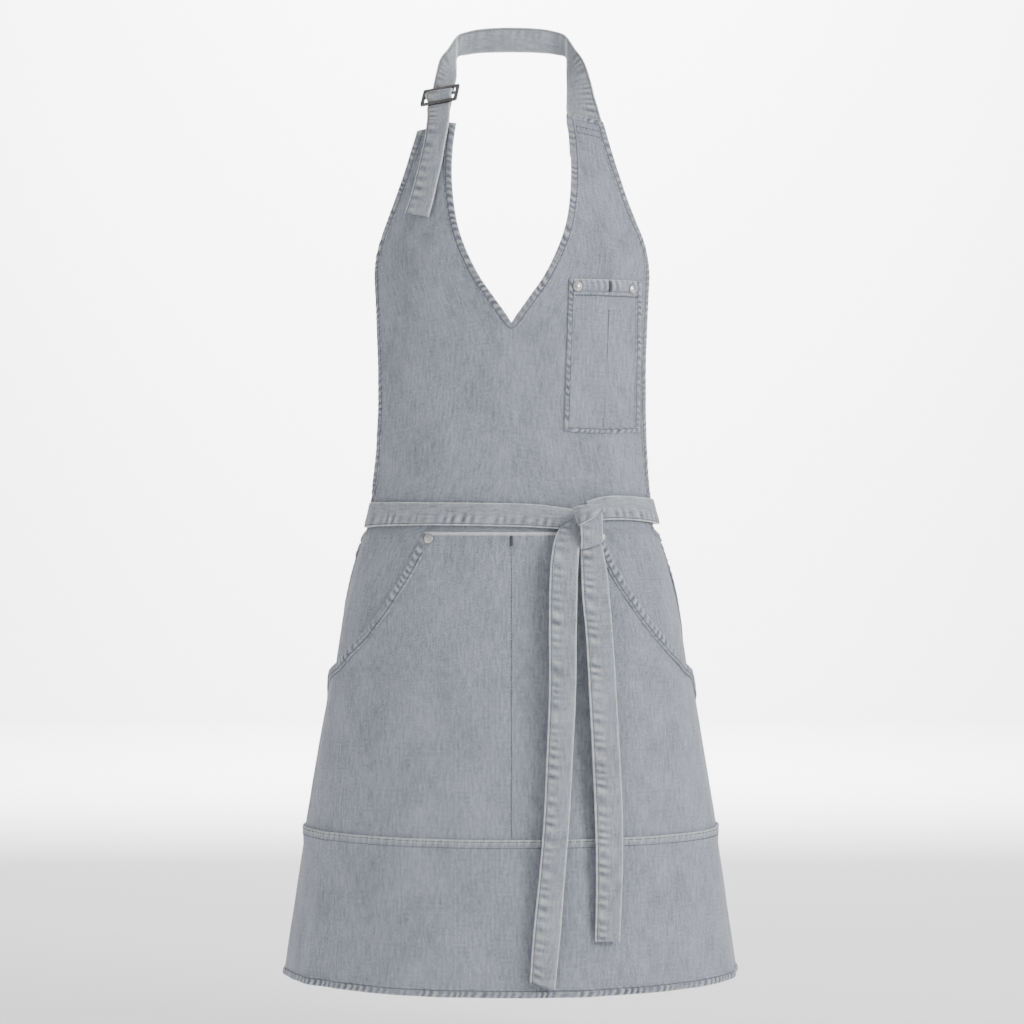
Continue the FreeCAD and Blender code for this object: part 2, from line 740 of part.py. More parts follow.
def hanging(path):
    """The side view of a hanging end: its back face and its front face."""
    thick = get("end_thick")
    return [(across, up) for across, up in path] + [(across - thick, up) for across, up in reversed(path)]


# Side views as (out from the apron, up). Each has its place, its turn about the upright and its lean in degrees.
KNOT_SIDE = [(7, 21.5), (-1, 0), (-2, -21.5), (-9, -22), (-15, -12), (-16, 4), (-11, 16), (-3, 22)]
KNOT_AT, KNOT_YAW = (76.4, -166, -515.7), 22
LONG_PATH = [(0, 0), (-17.5, -50), (-36, -157), (-46, -286), (-59, -428)]
LONG_AT, LONG_YAW, LONG_LEAN = (54.6, -178, -540), 10, 3.2
SHORT_PATH = [(0, 0), (-17, -50), (-33, -157), (-40, -286), (-47.5, -384)]
SHORT_AT, SHORT_YAW, SHORT_LEAN = (82, -171, -542), 20, -2.4

piece("waist_knot", side_strip("knot", KNOT_AT, KNOT_YAW, 0, KNOT_SIDE, "Dims.knot_width"))
long_end = side_strip("long_end", LONG_AT, LONG_YAW, LONG_LEAN, hanging(LONG_PATH), "Dims.end_width")
piece("long_tie_tail", long_end)
short_end = side_strip("short_end", SHORT_AT, SHORT_YAW, SHORT_LEAN, hanging(SHORT_PATH), "Dims.end_width")
piece("short_tie_tail", short_end)

# ---------------------------------------------------------------- rivets and bar tacks


def seat(cloth, across, up):
    """Where a line straight back from the front first meets the cloth, and the cloth's outward direction there."""
    line = Part.makeLine(Vector(across, -get("pad_side"), up), Vector(across, get("tie_back_line"), up))
    spots = [vertex.Point for vertex in cloth.Shape.common(line).Vertexes]
    spot = min(spots, key=lambda point: point.y)
    face = min(cloth.Shape.Faces, key=lambda item: item.distToShape(Part.Vertex(spot))[0])
    normal = face.normalAt(*face.Surface.parameter(spot))
    return spot, normal if normal.y < 0 else -normal


def facing_out(spot, normal):
    return Placement(spot, Rotation(Vector(0, 0, 1), normal))


def turned_part(name, place, profile):
    """A body turned about its own Z from a side profile of (radius, height)."""
    body = doc.addObject("PartDesign::Body", name)
    sketch = outline(body, "XZ_Plane", f"{name}_profile", [profile])
    turn = body.newObject("PartDesign::Revolution", f"{name}_turn")
    turn.Profile = sketch
    turn.ReferenceAxis = (sketch, ["V_Axis"])
    turn.Angle = 360
    body.Placement = place
    return body


doc.recompute()
# Each rivet's cloth and its place seen from the front; then how deep the back of the panel lies under each cloth.
RIVETS = {
    "chest_rivet_left": ("chest_pocket", 65.7, -275),
    "chest_rivet_right": ("chest_pocket", 122.5, -275),
    "waist_rivet_left": ("waist_pocket", -83.5, -528.5),
    "waist_rivet_right": ("waist_pocket", 83.5, -528.5),
}
PANEL_DEPTH = {"chest_pocket": 14.3, "waist_pocket": 6.6}
for node, (cloth, across, up) in RIVETS.items():
    spot, normal = seat(pieces[cloth], across, up)
    place = facing_out(spot, normal)
    cap = [
        ("0", "Dims.cloth_gap", None),
        ("Dims.rivet_radius", "Dims.cloth_gap", None),
        ("Dims.rivet_radius", "Dims.rivet_rim", None),
        ("Dims.rivet_radius * 0.75", "Dims.rivet_height * 0.8", None),
        ("Dims.rivet_radius * 0.35", "Dims.rivet_height", None),
        ("0", "Dims.rivet_height", None),
    ]
    piece(f"{node}_cap", turned_part(f"{node}_dome", place, cap))
    depth = -PANEL_DEPTH[cloth]
    post = [
        ("0", "0", None),
        ("0", f"{depth} - Dims.washer_thick", None),
        ("Dims.washer_radius", f"{depth} - Dims.washer_thick", None),
        ("Dims.washer_radius", f"{depth}", None),
        ("Dims.shank_radius", f"{depth}", None),
        ("Dims.shank_radius", "0", None),
    ]
    piece(f"{node}_post", turned_part(f"{node}_shank", place, post))

TACKS = {
    "chest_pocket_bartack": ("chest_pocket", 97, -288),
    "waist_pocket_bartack": ("waist_pocket", 0, -540),
}
for node, (cloth, across, up) in TACKS.items():
    spot, normal = seat(pieces[cloth], across, up)
    tack = doc.addObject("Part::Box", f"{node}_bar")
    tack.setExpression("Length", "Dims.tack_width")
    tack.setExpression("Width", "Dims.tack_length")
    tack.setExpression("Height", "Dims.tack_thick")
    turn = Rotation(Vector(1, 0, 0), Vector(0, 0, 1), normal, "ZYX")
    corner_shift = turn.multVec(Vector(-get("tack_width") / 2, -get("tack_length") / 2, get("cloth_gap")))
    tack.Placement = Placement(spot + corner_shift, turn)
    piece(node, tack)

doc.recompute()

# ---------------------------------------------------------------- checks and files

failed = [item.Name for item in doc.Objects if "Invalid" in item.State or "Error" in item.State]
if failed:
    raise RuntimeError(f"these objects did not build: {failed}")
for node, item in pieces.items():
    shape = item.Shape
    if shape.isNull() or not shape.isValid() or len(shape.Solids) != 1:
        raise RuntimeError(f"{node} is not one valid solid")

os.makedirs("parts", exist_ok=True)
for node, item in pieces.items():
    item.Shape.exportStep(f"parts/{node}.step")
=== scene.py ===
import math

import bpy
import numpy as np
from mathutils import Matrix, Vector, noise


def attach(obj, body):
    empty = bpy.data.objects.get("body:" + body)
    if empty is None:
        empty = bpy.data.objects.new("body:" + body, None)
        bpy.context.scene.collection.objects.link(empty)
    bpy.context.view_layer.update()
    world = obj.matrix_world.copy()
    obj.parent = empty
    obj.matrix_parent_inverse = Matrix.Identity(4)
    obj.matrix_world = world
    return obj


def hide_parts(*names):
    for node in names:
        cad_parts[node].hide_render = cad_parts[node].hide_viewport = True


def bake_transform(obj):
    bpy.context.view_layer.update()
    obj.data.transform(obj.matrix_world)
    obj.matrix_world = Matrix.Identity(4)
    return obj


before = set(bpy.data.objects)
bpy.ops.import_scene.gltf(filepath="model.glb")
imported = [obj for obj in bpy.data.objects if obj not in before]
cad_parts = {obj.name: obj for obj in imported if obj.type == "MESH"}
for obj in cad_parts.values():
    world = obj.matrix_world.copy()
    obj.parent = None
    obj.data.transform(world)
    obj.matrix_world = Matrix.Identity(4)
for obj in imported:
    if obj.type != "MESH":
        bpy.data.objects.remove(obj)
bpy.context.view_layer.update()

# ---------------------------------------------------------------- apron cloth
# The front of the apron is one cut of washed twill, worn round a body that isn't there. It is cut to a V
# at the neck, curved in at the arms and drawn in at the waist, and it wraps past the hips. Every other
# piece of cloth is sewn to it, so all of them share this worn shape and its shallow folds.

# The worn shape: level, half width, half depth, and where its middle lies from front to back.
WORN = np.array([
    (-0.985, 0.2330, 0.173, -0.060),
    (-0.826, 0.2105, 0.154, -0.060),
    (-0.697, 0.1868, 0.137, -0.060),
    (-0.593, 0.171, 0.116, -0.066),
    (-0.545, 0.158, 0.098, -0.074),
    (-0.500, 0.144, 0.088, -0.076),
    (-0.385, 0.150, 0.105, -0.068),
    (-0.275, 0.153, 0.120, -0.060),
    (-0.180, 0.150, 0.098, -0.060),
    (-0.090, 0.150, 0.075, -0.060),
])
EASE = (-0.016, -0.008, 0.0, 0.008, 0.016)

# Half outlines from the top down: across, level, and how far the edge to the next point bows outwards.
NECKLINE = [(0.0555, -0.1045, 0.0048), (0.0552, -0.2070, 0.0029), (0.0295, -0.2690, 0), (0, -0.3105, 0)]
ARMHOLE = [
    (0.0920, -0.1020, 0),
    (0.0950, -0.1108, -0.0020),
    (0.1297, -0.2135, 0.0027),
    (0.1393, -0.2620, 0),
    (0.1356, -0.3400, -0.0027),
    (0.1418, -0.4890, 0),
    (0.1440, -0.5165, 0),
]
# The side edge below the waist: level, and how far back it lies.
SIDE_EDGE = np.array([
    (-0.978, 0.010), (-0.760, -0.020), (-0.640, -0.045), (-0.565, -0.066), (-0.530, -0.079),
])

V_POINT, ARM_FOOT = -0.3105, -0.5165
# Where the hem that moves with the bib gives way to the one that moves with the skirt.
HIP_SPLIT = -0.532
# The level of each peak's inner corner. The strap is sewn into the one on the wearer's left, so it is
# higher.
PEAK_TOP = {-1: -0.1060, 1: -0.0965}
BAND_SEAM, HEM = -0.826, -0.978
PEAK_SLOPE = 0.0063
CLOTH = 0.0012


def worn(level):
    """Half width, half depth and middle of the worn shape, eased so that it has no corners."""
    return [
        sum(np.interp(level + shift, WORN[:, 0], WORN[:, k]) for shift in EASE) / len(EASE)
        for k in (1, 2, 3)
    ]


def folds(turn, level):
    """The shallow folds of the hanging cloth: long upright ones that grow towards the hem."""
    low = min(max((-0.50 - level) / 0.45, 0), 1)
    broad = noise.noise(Vector((turn * 2.3 + 4.1, level * 3.1, 0.5)))
    upright = noise.noise(Vector((turn * 6.5, level * 1.6, 7.3)))
    small = noise.noise(Vector((turn * 15, level * 22, 2.2)))
    gathers = math.exp(-((level + 0.535) / 0.018) ** 2) + 0.6 * math.exp(-((level + 0.474) / 0.016) ** 2)
    drawn_in = noise.noise(Vector((turn * 24, level * 9, 11.7)))
    return 0.0012 * broad + (0.0006 + 0.0030 * low) * upright + 0.0005 * small + 0.0014 * gathers * drawn_in


def on_cloth(turn, level, out=0.0):
    """A point on the worn cloth, turned about the upright from the front and standing out by out."""
    half_width, half_depth, middle = worn(level)
    away = out + folds(turn, level)
    return Vector((
        (half_width + away) * math.sin(turn),
        middle - (half_depth + away) * math.cos(turn),
        level,
    ))


def turn_at(across, level, out=0.0):
    """The turn at which the worn cloth lies so far across."""
    return math.asin(max(-1, min(1, across / (worn(level)[0] + out))))


def outline_across(outline, level):
    for (x0, z0, bow), (x1, z1, _) in zip(outline, outline[1:]):
        if level >= z1:
            along = min(max((z0 - level) / (z0 - z1), 0), 1)
            return x0 + (x1 - x0) * along + 4 * bow * along * (1 - along)
    return outline[-1][0]


def side_turn(level):
    """The turn of the apron's outer edge at a level."""
    if level >= ARM_FOOT:
        return turn_at(outline_across(ARMHOLE, level), level)
    _, half_depth, middle = worn(level)
    back = np.interp(level, SIDE_EDGE[:, 0], SIDE_EDGE[:, 1])
    turn = math.acos(max(-1, min(1, (middle - back) / half_depth)))
    foot = turn_at(ARMHOLE[-1][0], ARM_FOOT)
    return foot + (turn - foot) * min((ARM_FOOT - level) / 0.0060, 1)


def peak_spot(side, share, level):
    """A place on the bib or skirt: share runs from its inner to its outer edge, and level is that of the
    inner end."""
    drop = PEAK_SLOPE * min(max((level - PEAK_TOP[side] + 0.060) / 0.060, 0), 1)
    inner, outer = neck_turn(level), side_turn(level - drop)
    return side * (inner + (outer - inner) * share), level - drop * share


def normal_at(turn, level, out=0.0):
    """The way out of the worn cloth at a place."""
    across = on_cloth(turn + 0.01, level, out) - on_cloth(turn - 0.01, level, out)
    upright = on_cloth(turn, level + 0.002, out) - on_cloth(turn, level - 0.002, out)
    return across.cross(upright).normalized()


def neck_turn(level):
    return turn_at(outline_across(NECKLINE, level), level) if level > V_POINT else 0.0


def new_piece(name, points, faces, edges=()):
    """A piece made of the given points and faces. It alone is selected."""
    mesh = bpy.data.meshes.new(name)
    mesh.from_pydata(points, list(edges), faces)
    piece = bpy.data.objects.new(name, mesh)
    bpy.context.scene.collection.objects.link(piece)
    bpy.ops.object.select_all(action="DESELECT")
    bpy.context.view_layer.objects.active = piece
    piece.select_set(True)
    return piece


def map_cloth(piece, flat, wear_and_shade=None):
    """Gives a cloth its map in metres, and says how worn it is at each point and where shade is painted on it.
    """
    layer = piece.data.uv_layers.new(name="cloth")
    corners = np.array([loop.vertex_index for loop in piece.data.loops])
    layer.data.foreach_set("uv", flat.reshape(-1, 2)[corners].astype(np.float32).ravel())
    wear_and_shade_in = piece.data.attributes.new("wear_and_shade", "FLOAT", "POINT")
    if wear_and_shade is not None:
        wear_and_shade_in.data.foreach_set("value", np.array(wear_and_shade, np.float32).ravel())


def thicken(piece, thick):
    """Gives a sheet its thickness on the inside."""
    wall = piece.modifiers.new("thickness", "SOLIDIFY")
    wall.thickness = thick
    wall.offset = -1
    bpy.ops.object.modifier_apply(modifier=wall.name)


def cloth_grid(name, rows, thick=CLOTH, wear_and_shade=None):
    """A cloth from rows of points, bottom row first and each row from left to right as seen from the front.
    It gets its thickness inwards, and a map in metres along its own length and width."""
    count = len(rows[0])
    points = [point for row in rows for point in row]
    quads = []
    for r in range(len(rows) - 1):
        for c in range(count - 1):
            first = r * count + c
            quads.append((first, first + 1, first + 1 + count, first + count))
    spots = np.array([tuple(point) for point in points]).reshape(len(rows), count, 3)
    across = np.zeros((len(rows), count))
    across[:, 1:] = np.cumsum(np.linalg.norm(np.diff(spots, axis=1), axis=2), axis=1)
    across -= across[:, count // 2:count // 2 + 1]
    along = np.zeros((len(rows), count))
    along[1:] = np.cumsum(np.linalg.norm(np.diff(spots, axis=0), axis=2), axis=0)
    piece = new_piece(name, points, quads)
    map_cloth(piece, np.stack([across, along], axis=2), wear_and_shade)
    if thick:
        thicken(piece, thick)
    bpy.ops.object.shade_smooth()
    return piece


def joined(name, parts):
    """Several meshes as one piece, with the points where they meet made one."""
    bpy.ops.object.select_all(action="DESELECT")
    for part in parts:
        part.select_set(True)
    bpy.context.view_layer.objects.active = parts[0]
    bpy.ops.object.join()
    whole = bpy.context.view_layer.objects.active
    whole.name = name
    bpy.ops.object.mode_set(mode="EDIT")
    bpy.ops.mesh.select_all(action="SELECT")
    bpy.ops.mesh.remove_doubles(threshold=0.000002)
    bpy.ops.object.mode_set(mode="OBJECT")
    return whole


def feed(tree, fed, inputs):
    """Sets the inputs of a node, each to a value or to the output that feeds it."""
    for label, value in inputs.items():
        if isinstance(value, bpy.types.NodeSocket):
            tree.links.new(value, fed.inputs[label])
        else:
            fed.inputs[label].default_value = value


def node(tree, kind, inputs, **settings):
    """A new node with its settings and inputs."""
    made = tree.nodes.new(kind)
    for label, value in settings.items():
        setattr(made, label, value)
    feed(tree, made, inputs)
    return made


def plain_finish(name):
    """A new finish, its tree of nodes and its shader."""
    finish = bpy.data.materials.new(name)
    finish.use_nodes = True
    return finish, finish.node_tree, finish.node_tree.nodes["Principled BSDF"]


def weave_group():
    """Washed twill: slanted ribs, uneven upright yarns, a speckled blend of light and dark, and cloudy
    washing."""
    group = bpy.data.node_groups.new("washed_twill", "ShaderNodeTree")
    for way, label, kind in (
        ("INPUT", "Cloth", "Color"), ("INPUT", "Worn", "Color"), ("INPUT", "Wear and shade", "Float"),
        ("OUTPUT", "Color", "Color"), ("OUTPUT", "Rough", "Float"), ("OUTPUT", "Height", "Float"),
    ):
        group.interface.new_socket(label, in_out=way, socket_type=f"NodeSocket{kind}")
    given = node(group, "NodeGroupInput", {}).outputs
    place = node(group, "ShaderNodeTexCoord", {}).outputs["UV"]

    def stretched_noise(across, along, detail):
        scale = node(group, "ShaderNodeMapping", {"Vector": place, "Scale": (across, along, 1)})
        grain = {"Vector": scale.outputs["Vector"], "Scale": 1, "Detail": detail, "Roughness": 0.6}
        return node(group, "ShaderNodeTexNoise", grain).outputs["Fac"]

    def sums(*terms):
        total = 0
        for value, weight in terms:
            step = {0: value, 1: weight, 2: total}
            total = node(group, "ShaderNodeMath", step, operation="MULTIPLY_ADD").outputs[0]
        return total

    def product(first, second):
        made = node(group, "ShaderNodeMath", {0: first, 1: second}, operation="MULTIPLY", use_clamp=True)
        return made.outputs[0]

    def mixed(blend, factor, first, second):
        inputs = {"Factor": factor, "A": first, "B": second}
        return node(group, "ShaderNodeMix", inputs, data_type="RGBA", blend_type=blend).outputs["Result"]

    def spread(value, low, high, **span):
        inputs = {"Value": value, "To Min": low, "To Max": high}
        inputs.update({f"From {end}": reach for end, reach in span.items()})
        return node(group, "ShaderNodeMapRange", inputs).outputs["Result"]

    yarns = stretched_noise(460, 60, 3)
    speckle = stretched_noise(480, 420, 3)
    wash = stretched_noise(26, 14, 4)
    cross = stretched_noise(40, 420, 2)
    wave = {"Vector": place, "Scale": 260, "Distortion": 1.5, "Detail": 1}
    ribs = node(group, "ShaderNodeTexWave", wave, bands_direction="DIAGONAL").outputs["Fac"]
    pattern = sums((yarns, 0.38), (speckle, 0.38), (wash, 0.26), (cross, 0.10), (ribs, 0.06))
    tinted = mixed("MULTIPLY", 1, given["Cloth"], spread(pattern, 0.38, 1.72, Min=0.36, Max=0.82))
    # Raised places are rubbed pale in patches. Where the wear runs negative, in the stitch grooves and the
    # pucker hollows, the colour is darkened well below the cloth's own: painted shade, with a little of the
    # dark of dye that stayed unfaded there.
    rubbed = product(given["Wear and shade"], sums((speckle, 0.9), (yarns, 0.7)))
    faded = mixed("MIX", rubbed, tinted, given["Worn"])
    with_painted_shade = mixed("MULTIPLY", product(given["Wear and shade"], -0.75), faded, (0.24, 0.25, 0.29, 1))
    relief = sums((ribs, 0.45), (yarns, 0.55), (speckle, 0.4))
    rough = spread(speckle, 0.82, 0.97)
    node(group, "NodeGroupOutput", {"Color": with_painted_shade, "Rough": rough, "Height": relief})
    return group


washed_twill = weave_group()
WORN_EDGE = (0.68, 0.69, 0.70)


def twill(name, cloth):
    """A finish of the washed twill in its own shade."""
    finish, tree, shader = plain_finish(name)
    # The attribute is pale wear where positive and painted shade where negative.
    rubbed = node(tree, "ShaderNodeAttribute", {}, attribute_name="wear_and_shade").outputs["Fac"]
    shades = {"Cloth": (*cloth, 1), "Worn": (*WORN_EDGE, 1), "Wear and shade": rubbed}
    weave = node(tree, "ShaderNodeGroup", shades, node_tree=washed_twill).outputs
    bump = node(tree, "ShaderNodeBump", {"Height": weave["Height"], "Strength": 0.55, "Distance": 0.0005})
    feed(tree, shader, {"Base Color": weave["Color"], "Roughness": weave["Rough"],
                        "Normal": bump.outputs["Normal"], "Sheen Weight": 0.12, "Specular IOR Level": 0.25})
    return finish


denim = twill("washed_denim", (0.236, 0.252, 0.292))
denim_pocket = twill("washed_denim_pocket", (0.240, 0.256, 0.297))
denim_tape = twill("washed_denim_tape", (0.262, 0.277, 0.308))
denim_hem = twill("washed_denim_hem", (0.226, 0.240, 0.278))


def finish_with(piece, finish):
    """Gives a piece its finish and the slot that the finish goes by."""
    piece.data.materials.clear()
    piece.data.materials.append(finish)
    return piece


PANEL_ROWS, PANEL_COLUMNS = 250, 74
PANEL_OUT = 0.0015
halves = []
for side in (-1, 1):
    rows = []
    below = np.linspace(BAND_SEAM, V_POINT, PANEL_ROWS * 2 // 3)
    for level in np.concatenate([below, np.linspace(V_POINT, PEAK_TOP[side], PANEL_ROWS // 3)[1:]]):
        shares = np.linspace(0, 1, PANEL_COLUMNS)
        row = [on_cloth(*peak_spot(side, share, level), PANEL_OUT) for share in shares]
        rows.append(row if side > 0 else row[::-1])
    halves.append(cloth_grid("apron_panel", rows, thick=0))
panel = joined("apron_panel", halves)
thicken(panel, CLOTH)
bpy.ops.object.shade_smooth()
finish_with(panel, denim)
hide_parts("bib_panel", "skirt_panel")
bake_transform(panel)

# ---------------------------------------------------------------- turned hems and stitching
# The neckline, the armholes and the skirt's sides are folded under and stitched down. Washing shrinks the
# fold along its thread, so it puckers into short slanting ropes whose tops wear pale, while their hollows
# and the stitch lines are darkened as painted shade. The thread is dark grey.

# How wide the hems are, how far each fold stands proud of the cloth's edge, and how thick the folds are.
HEM_WIDTH, FOLD_PROUD, HEM_THICK = 0.0085, 0.0004, 0.0027
THREAD_STEP, THREAD_LONG, THREAD_THICK = 0.0033, 0.0023, 0.00042
PUCKER_PITCH, TAPE_PITCH = 0.0074, 0.0098

# Across a folded edge, from the fold to the raw side: place, height, share of the pucker, and wear, whose
# negative values by the stitch line are painted shade in its groove.
HEM_SECTION = [
    (-1.00, 0.25, 0.1, 0.80), (-0.94, 0.85, 0.4, 0.70), (-0.80, 1.12, 0.9, 0.15), (-0.45, 1.20, 1.0, 0.0),
    (-0.05, 1.16, 1.0, 0.0), (0.25, 1.00, 0.8, 0.0), (0.42, 0.80, 0.3, -0.35), (0.50, 0.60, 0.0, -0.80),
    (0.60, 0.72, 0.2, -0.2), (0.78, 0.74, 0.4, 0.15), (1.00, 0.25, 0.1, 0.0),
]
HEM_STITCH, HEM_RISE = 0.48, 0.36
# Across a doubled tape, stitched near its first edge, where it puckers, and folded along the other. The
# negative wear by the stitch is painted shade in its groove.
TAPE_SECTION = [
    (-1.00, 0.35, 0.0, 1.0), (-0.95, 0.90, 0.1, 1.0), (-0.89, 1.05, 0.3, 0.2), (-0.84, 0.80, 0.1, -0.75),
    (-0.78, 1.02, 0.5, -0.1), (-0.62, 1.08, 1.0, 0.0), (-0.38, 1.10, 0.9, 0.0), (-0.14, 1.12, 0.45, 0.0),
    (0.12, 1.12, 0.15, 0.0), (0.45, 1.12, 0.05, 0.0), (0.75, 1.10, 0.05, 0.0), (0.89, 1.02, 0.05, 0.15),
    (0.95, 0.90, 0.0, 0.9), (1.00, 0.35, 0.0, 1.0),
]
TAPE_STITCH, TAPE_RISE = -0.84, 0.40


def eased(points, step):
    """Rows of numbers eased through the given ones, a smooth step apart."""
    points = np.array(points, float)
    result = []
    for index in range(len(points) - 1):
        p0 = points[max(index - 1, 0)]
        p1, p2 = points[index], points[index + 1]
        p3 = points[min(index + 2, len(points) - 1)]
        count = max(1, int(math.ceil(np.linalg.norm((p2 - p1)[:3]) / step)))
        for k in range(count):
            u = k / count
            result.append(0.5 * (2 * p1 + (p2 - p0) * u + (2 * p0 - 5 * p1 + 4 * p2 - p3) * u**2
                                 + (3 * p1 - p0 - 3 * p2 + p3) * u**3))
    result.append(points[-1])
    return np.array(result)


def face_out():
    """Turns the faces of the selected piece outwards, and smooths it."""
    bpy.ops.object.mode_set(mode="EDIT")
    bpy.ops.mesh.select_all(action="SELECT")
    bpy.ops.mesh.normals_make_consistent(inside=False)
    bpy.ops.object.mode_set(mode="OBJECT")
    bpy.ops.object.shade_smooth()


def tape(name, edges, thick, section=TAPE_SECTION, away_from=None, pucker=0.00045, seed=0.0, step=0.0016):
    """A folded strip of cloth between two edge lines, given as rows of six numbers. Its upper side faces away
    from a point behind it. Returns the piece and its frame along the way, which the stitching follows."""
    line = eased(edges, step)
    left, right = line[:, :3], line[:, 3:]
    middle, half = (left + right) / 2, (right - left) / 2
    way = np.gradient(middle, axis=0)
    way /= np.linalg.norm(way, axis=1)[:, None]
    up = np.cross(half, way)
    up /= np.linalg.norm(up, axis=1)[:, None]
    if away_from is not None:
        flip = np.sign(np.einsum("ij,ij->i", up, middle - np.array(away_from)))
        up *= np.where(flip == 0, 1, flip)[:, None]
    run = np.concatenate([[0], np.cumsum(np.linalg.norm(np.diff(middle, axis=0), axis=1))])
    rings, wear_and_shade_rows = [], []
    pitch = PUCKER_PITCH if section is HEM_SECTION else TAPE_PITCH
    for k, s in enumerate(run):
        ring, wear_and_shade = [], []
        drift = noise.noise(Vector((s * 40, seed, 1.7)))
        strength = min(max(0.80 + 1.3 * noise.noise(Vector((s * 60, seed, 9.1))), 0.15), 1.4)
        for sign, cells in ((1, section), (-1, section[::-1])):
            for a, b, share, rub_and_shade in cells:
                slant = 0.33 * a * (1 if a > 0 else -1)
                rope = math.sin(2 * math.pi * (s / pitch + slant + 1.1 * drift) + seed)
                lift = pucker * share * strength * rope
                wobble = 1 + 0.012 * noise.noise(Vector((s * 90, a, seed + 3)))
                height = sign * (b * thick / 2 + (lift if sign > 0 else lift * 0.6))
                ring.append(middle[k] + half[k] * a * wobble + up[k] * height)
                # Pucker crests wear pale, and the hollows between them are darkened as painted shade.
                crest = share * strength * (0.42 * max(rope, 0) - 0.80 * max(-rope, 0))
                wear_and_shade.append(min(1, max(-1, rub_and_shade * (0.85 + 0.15 * rope) + crest)))
        rings.append(ring)
        wear_and_shade_rows.append(wear_and_shade)
    rings = np.array(rings)
    around = rings.shape[1]
    points = rings.reshape(-1, 3).tolist()
    faces = []
    for r in range(len(rings) - 1):
        for c in range(around):
            a, b = r * around + c, r * around + (c + 1) % around
            faces.append((a, b, b + around, a + around))
    last = (len(rings) - 1) * around
    half_way = around // 2
    for start in (0, last):
        for c in range(half_way - 1):
            other = around - 1 - c
            faces.append((start + c, start + c + 1, start + other - 1, start + other))
    widths = np.linalg.norm(half, axis=1)
    flat = np.zeros((len(rings), around, 2))
    places = [cell[0] for cell in section] + [cell[0] for cell in section[::-1]]
    for c, a in enumerate(places):
        flat[:, c, 0] = a * widths + seed * 0.37 % 1 + (0.11 if c >= half_way else 0)
        flat[:, c, 1] = run
    piece = new_piece(name, points, faces)
    map_cloth(piece, flat, wear_and_shade_rows)
    face_out()
    return piece, (middle, half, up, run, thick)


def seam_on(guide, place, rise, start=0.0, side=1):
    """The line that a row of stitches follows along a tape, on its upper side or, for -1, its lower one."""
    middle, half, up, run, thick = guide
    keep = run >= start
    return middle[keep] + half[keep] * place + side * up[keep] * (rise * thick), side * up[keep]


def seam_on_cloth(turns_levels, out):
    """The line that a row of stitches follows on the worn cloth."""
    spots = np.array([tuple(on_cloth(turn, level, out)) for turn, level in turns_levels])
    normals = np.array([tuple(normal_at(turn, level, out)) for turn, level in turns_levels])
    return spots, normals


thread, tree, shader = plain_finish("dark_thread")
thread_place = node(tree, "ShaderNodeTexCoord", {}).outputs["Object"]
twist = node(tree, "ShaderNodeTexNoise", {"Vector": thread_place, "Scale": 2500})
tone = node(tree, "ShaderNodeValToRGB", {"Fac": twist.outputs["Fac"]})
tone.color_ramp.elements[0].color = (0.040, 0.043, 0.052, 1)
tone.color_ramp.elements[1].color = (0.085, 0.088, 0.100, 1)
feed(tree, shader, {"Base Color": tone.outputs["Color"], "Roughness": 0.75})


def sewn(name, seams, long=THREAD_LONG, step=THREAD_STEP, thick=THREAD_THICK):
    """One piece of stitching: a row of short sunken threads along each seam."""
    shape = [(-0.5, 0.45), (-0.28, 1.0), (0.28, 1.0), (0.5, 0.45)]
    sides = 5
    points, faces = [], []
    for spots, normals in seams:
        run = np.concatenate([[0], np.cumsum(np.linalg.norm(np.diff(spots, axis=0), axis=1))])
        for s in np.arange(step / 2, run[-1], step):
            here = np.array([np.interp(s, run, spots[:, k]) for k in range(3)])
            ahead = np.array([np.interp(min(s + 0.001, run[-1]), run, spots[:, k]) for k in range(3)])
            behind = np.array([np.interp(max(s - 0.001, 0), run, spots[:, k]) for k in range(3)])
            up = np.array([np.interp(s, run, normals[:, k]) for k in range(3)])
            way = (ahead - behind) / np.linalg.norm(ahead - behind)
            up = up - way * up.dot(way)
            up /= np.linalg.norm(up)
            side = np.cross(way, up)
            base = len(points)
            for along, girth in shape:
                dip = -0.00025 if abs(along) > 0.4 else 0
                for k in range(sides):
                    angle = 2 * math.pi * k / sides
                    spot = here + way * along * long + up * (dip + girth * thick * math.sin(angle))
                    points.append(tuple(spot + side * girth * thick * 1.1 * math.cos(angle)))
            for ring in range(len(shape) - 1):
                for k in range(sides):
                    a, b = base + ring * sides + k, base + ring * sides + (k + 1) % sides
                    faces.append((a, a + sides, b + sides, b))
            faces.append(tuple(base + k for k in range(sides)))
            faces.append(tuple(base + (len(shape) - 1) * sides + k for k in reversed(range(sides))))
    piece = new_piece(name, points, faces)
    face_out()
    return finish_with(piece, thread)


def edge_rows(edge, width, out=0.0009):
    """Two edge lines for a hem: the fold along an edge of the cloth, and the raw side a width further in. The
    edge is a list of (turn, level); in is to the left of the way walked, seen from outside."""
    points = [on_cloth(turn, level, out) for turn, level in edge]
    rows = []
    for k, (turn, level) in enumerate(edge):
        before, after = points[max(k - 1, 0)], points[min(k + 1, len(points) - 1)]
        way = (after - before).normalized()
        inward = normal_at(turn, level, out).cross(way).normalized()
        rows.append((*(points[k] - inward * FOLD_PROUD), *(points[k] + inward * width)))
    return rows


neck_edge = [peak_spot(-1, 0, level) for level in np.linspace(PEAK_TOP[-1], V_POINT, 40)]
neck_edge += [peak_spot(1, 0, level) for level in np.linspace(V_POINT, PEAK_TOP[1], 40)[1:]]
neckline_rows = edge_rows(neck_edge[::-1], HEM_WIDTH)
neckline_hem, neck_guide = tape("neckline_hem", neckline_rows, HEM_THICK, HEM_SECTION, (0, -0.02, -0.2),
                                seed=1.3)
finish_with(neckline_hem, denim_hem)
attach(neckline_hem, "bib")
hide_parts("neckline_facing")
bib_seams = [seam_on(neck_guide, HEM_STITCH, HEM_RISE)]

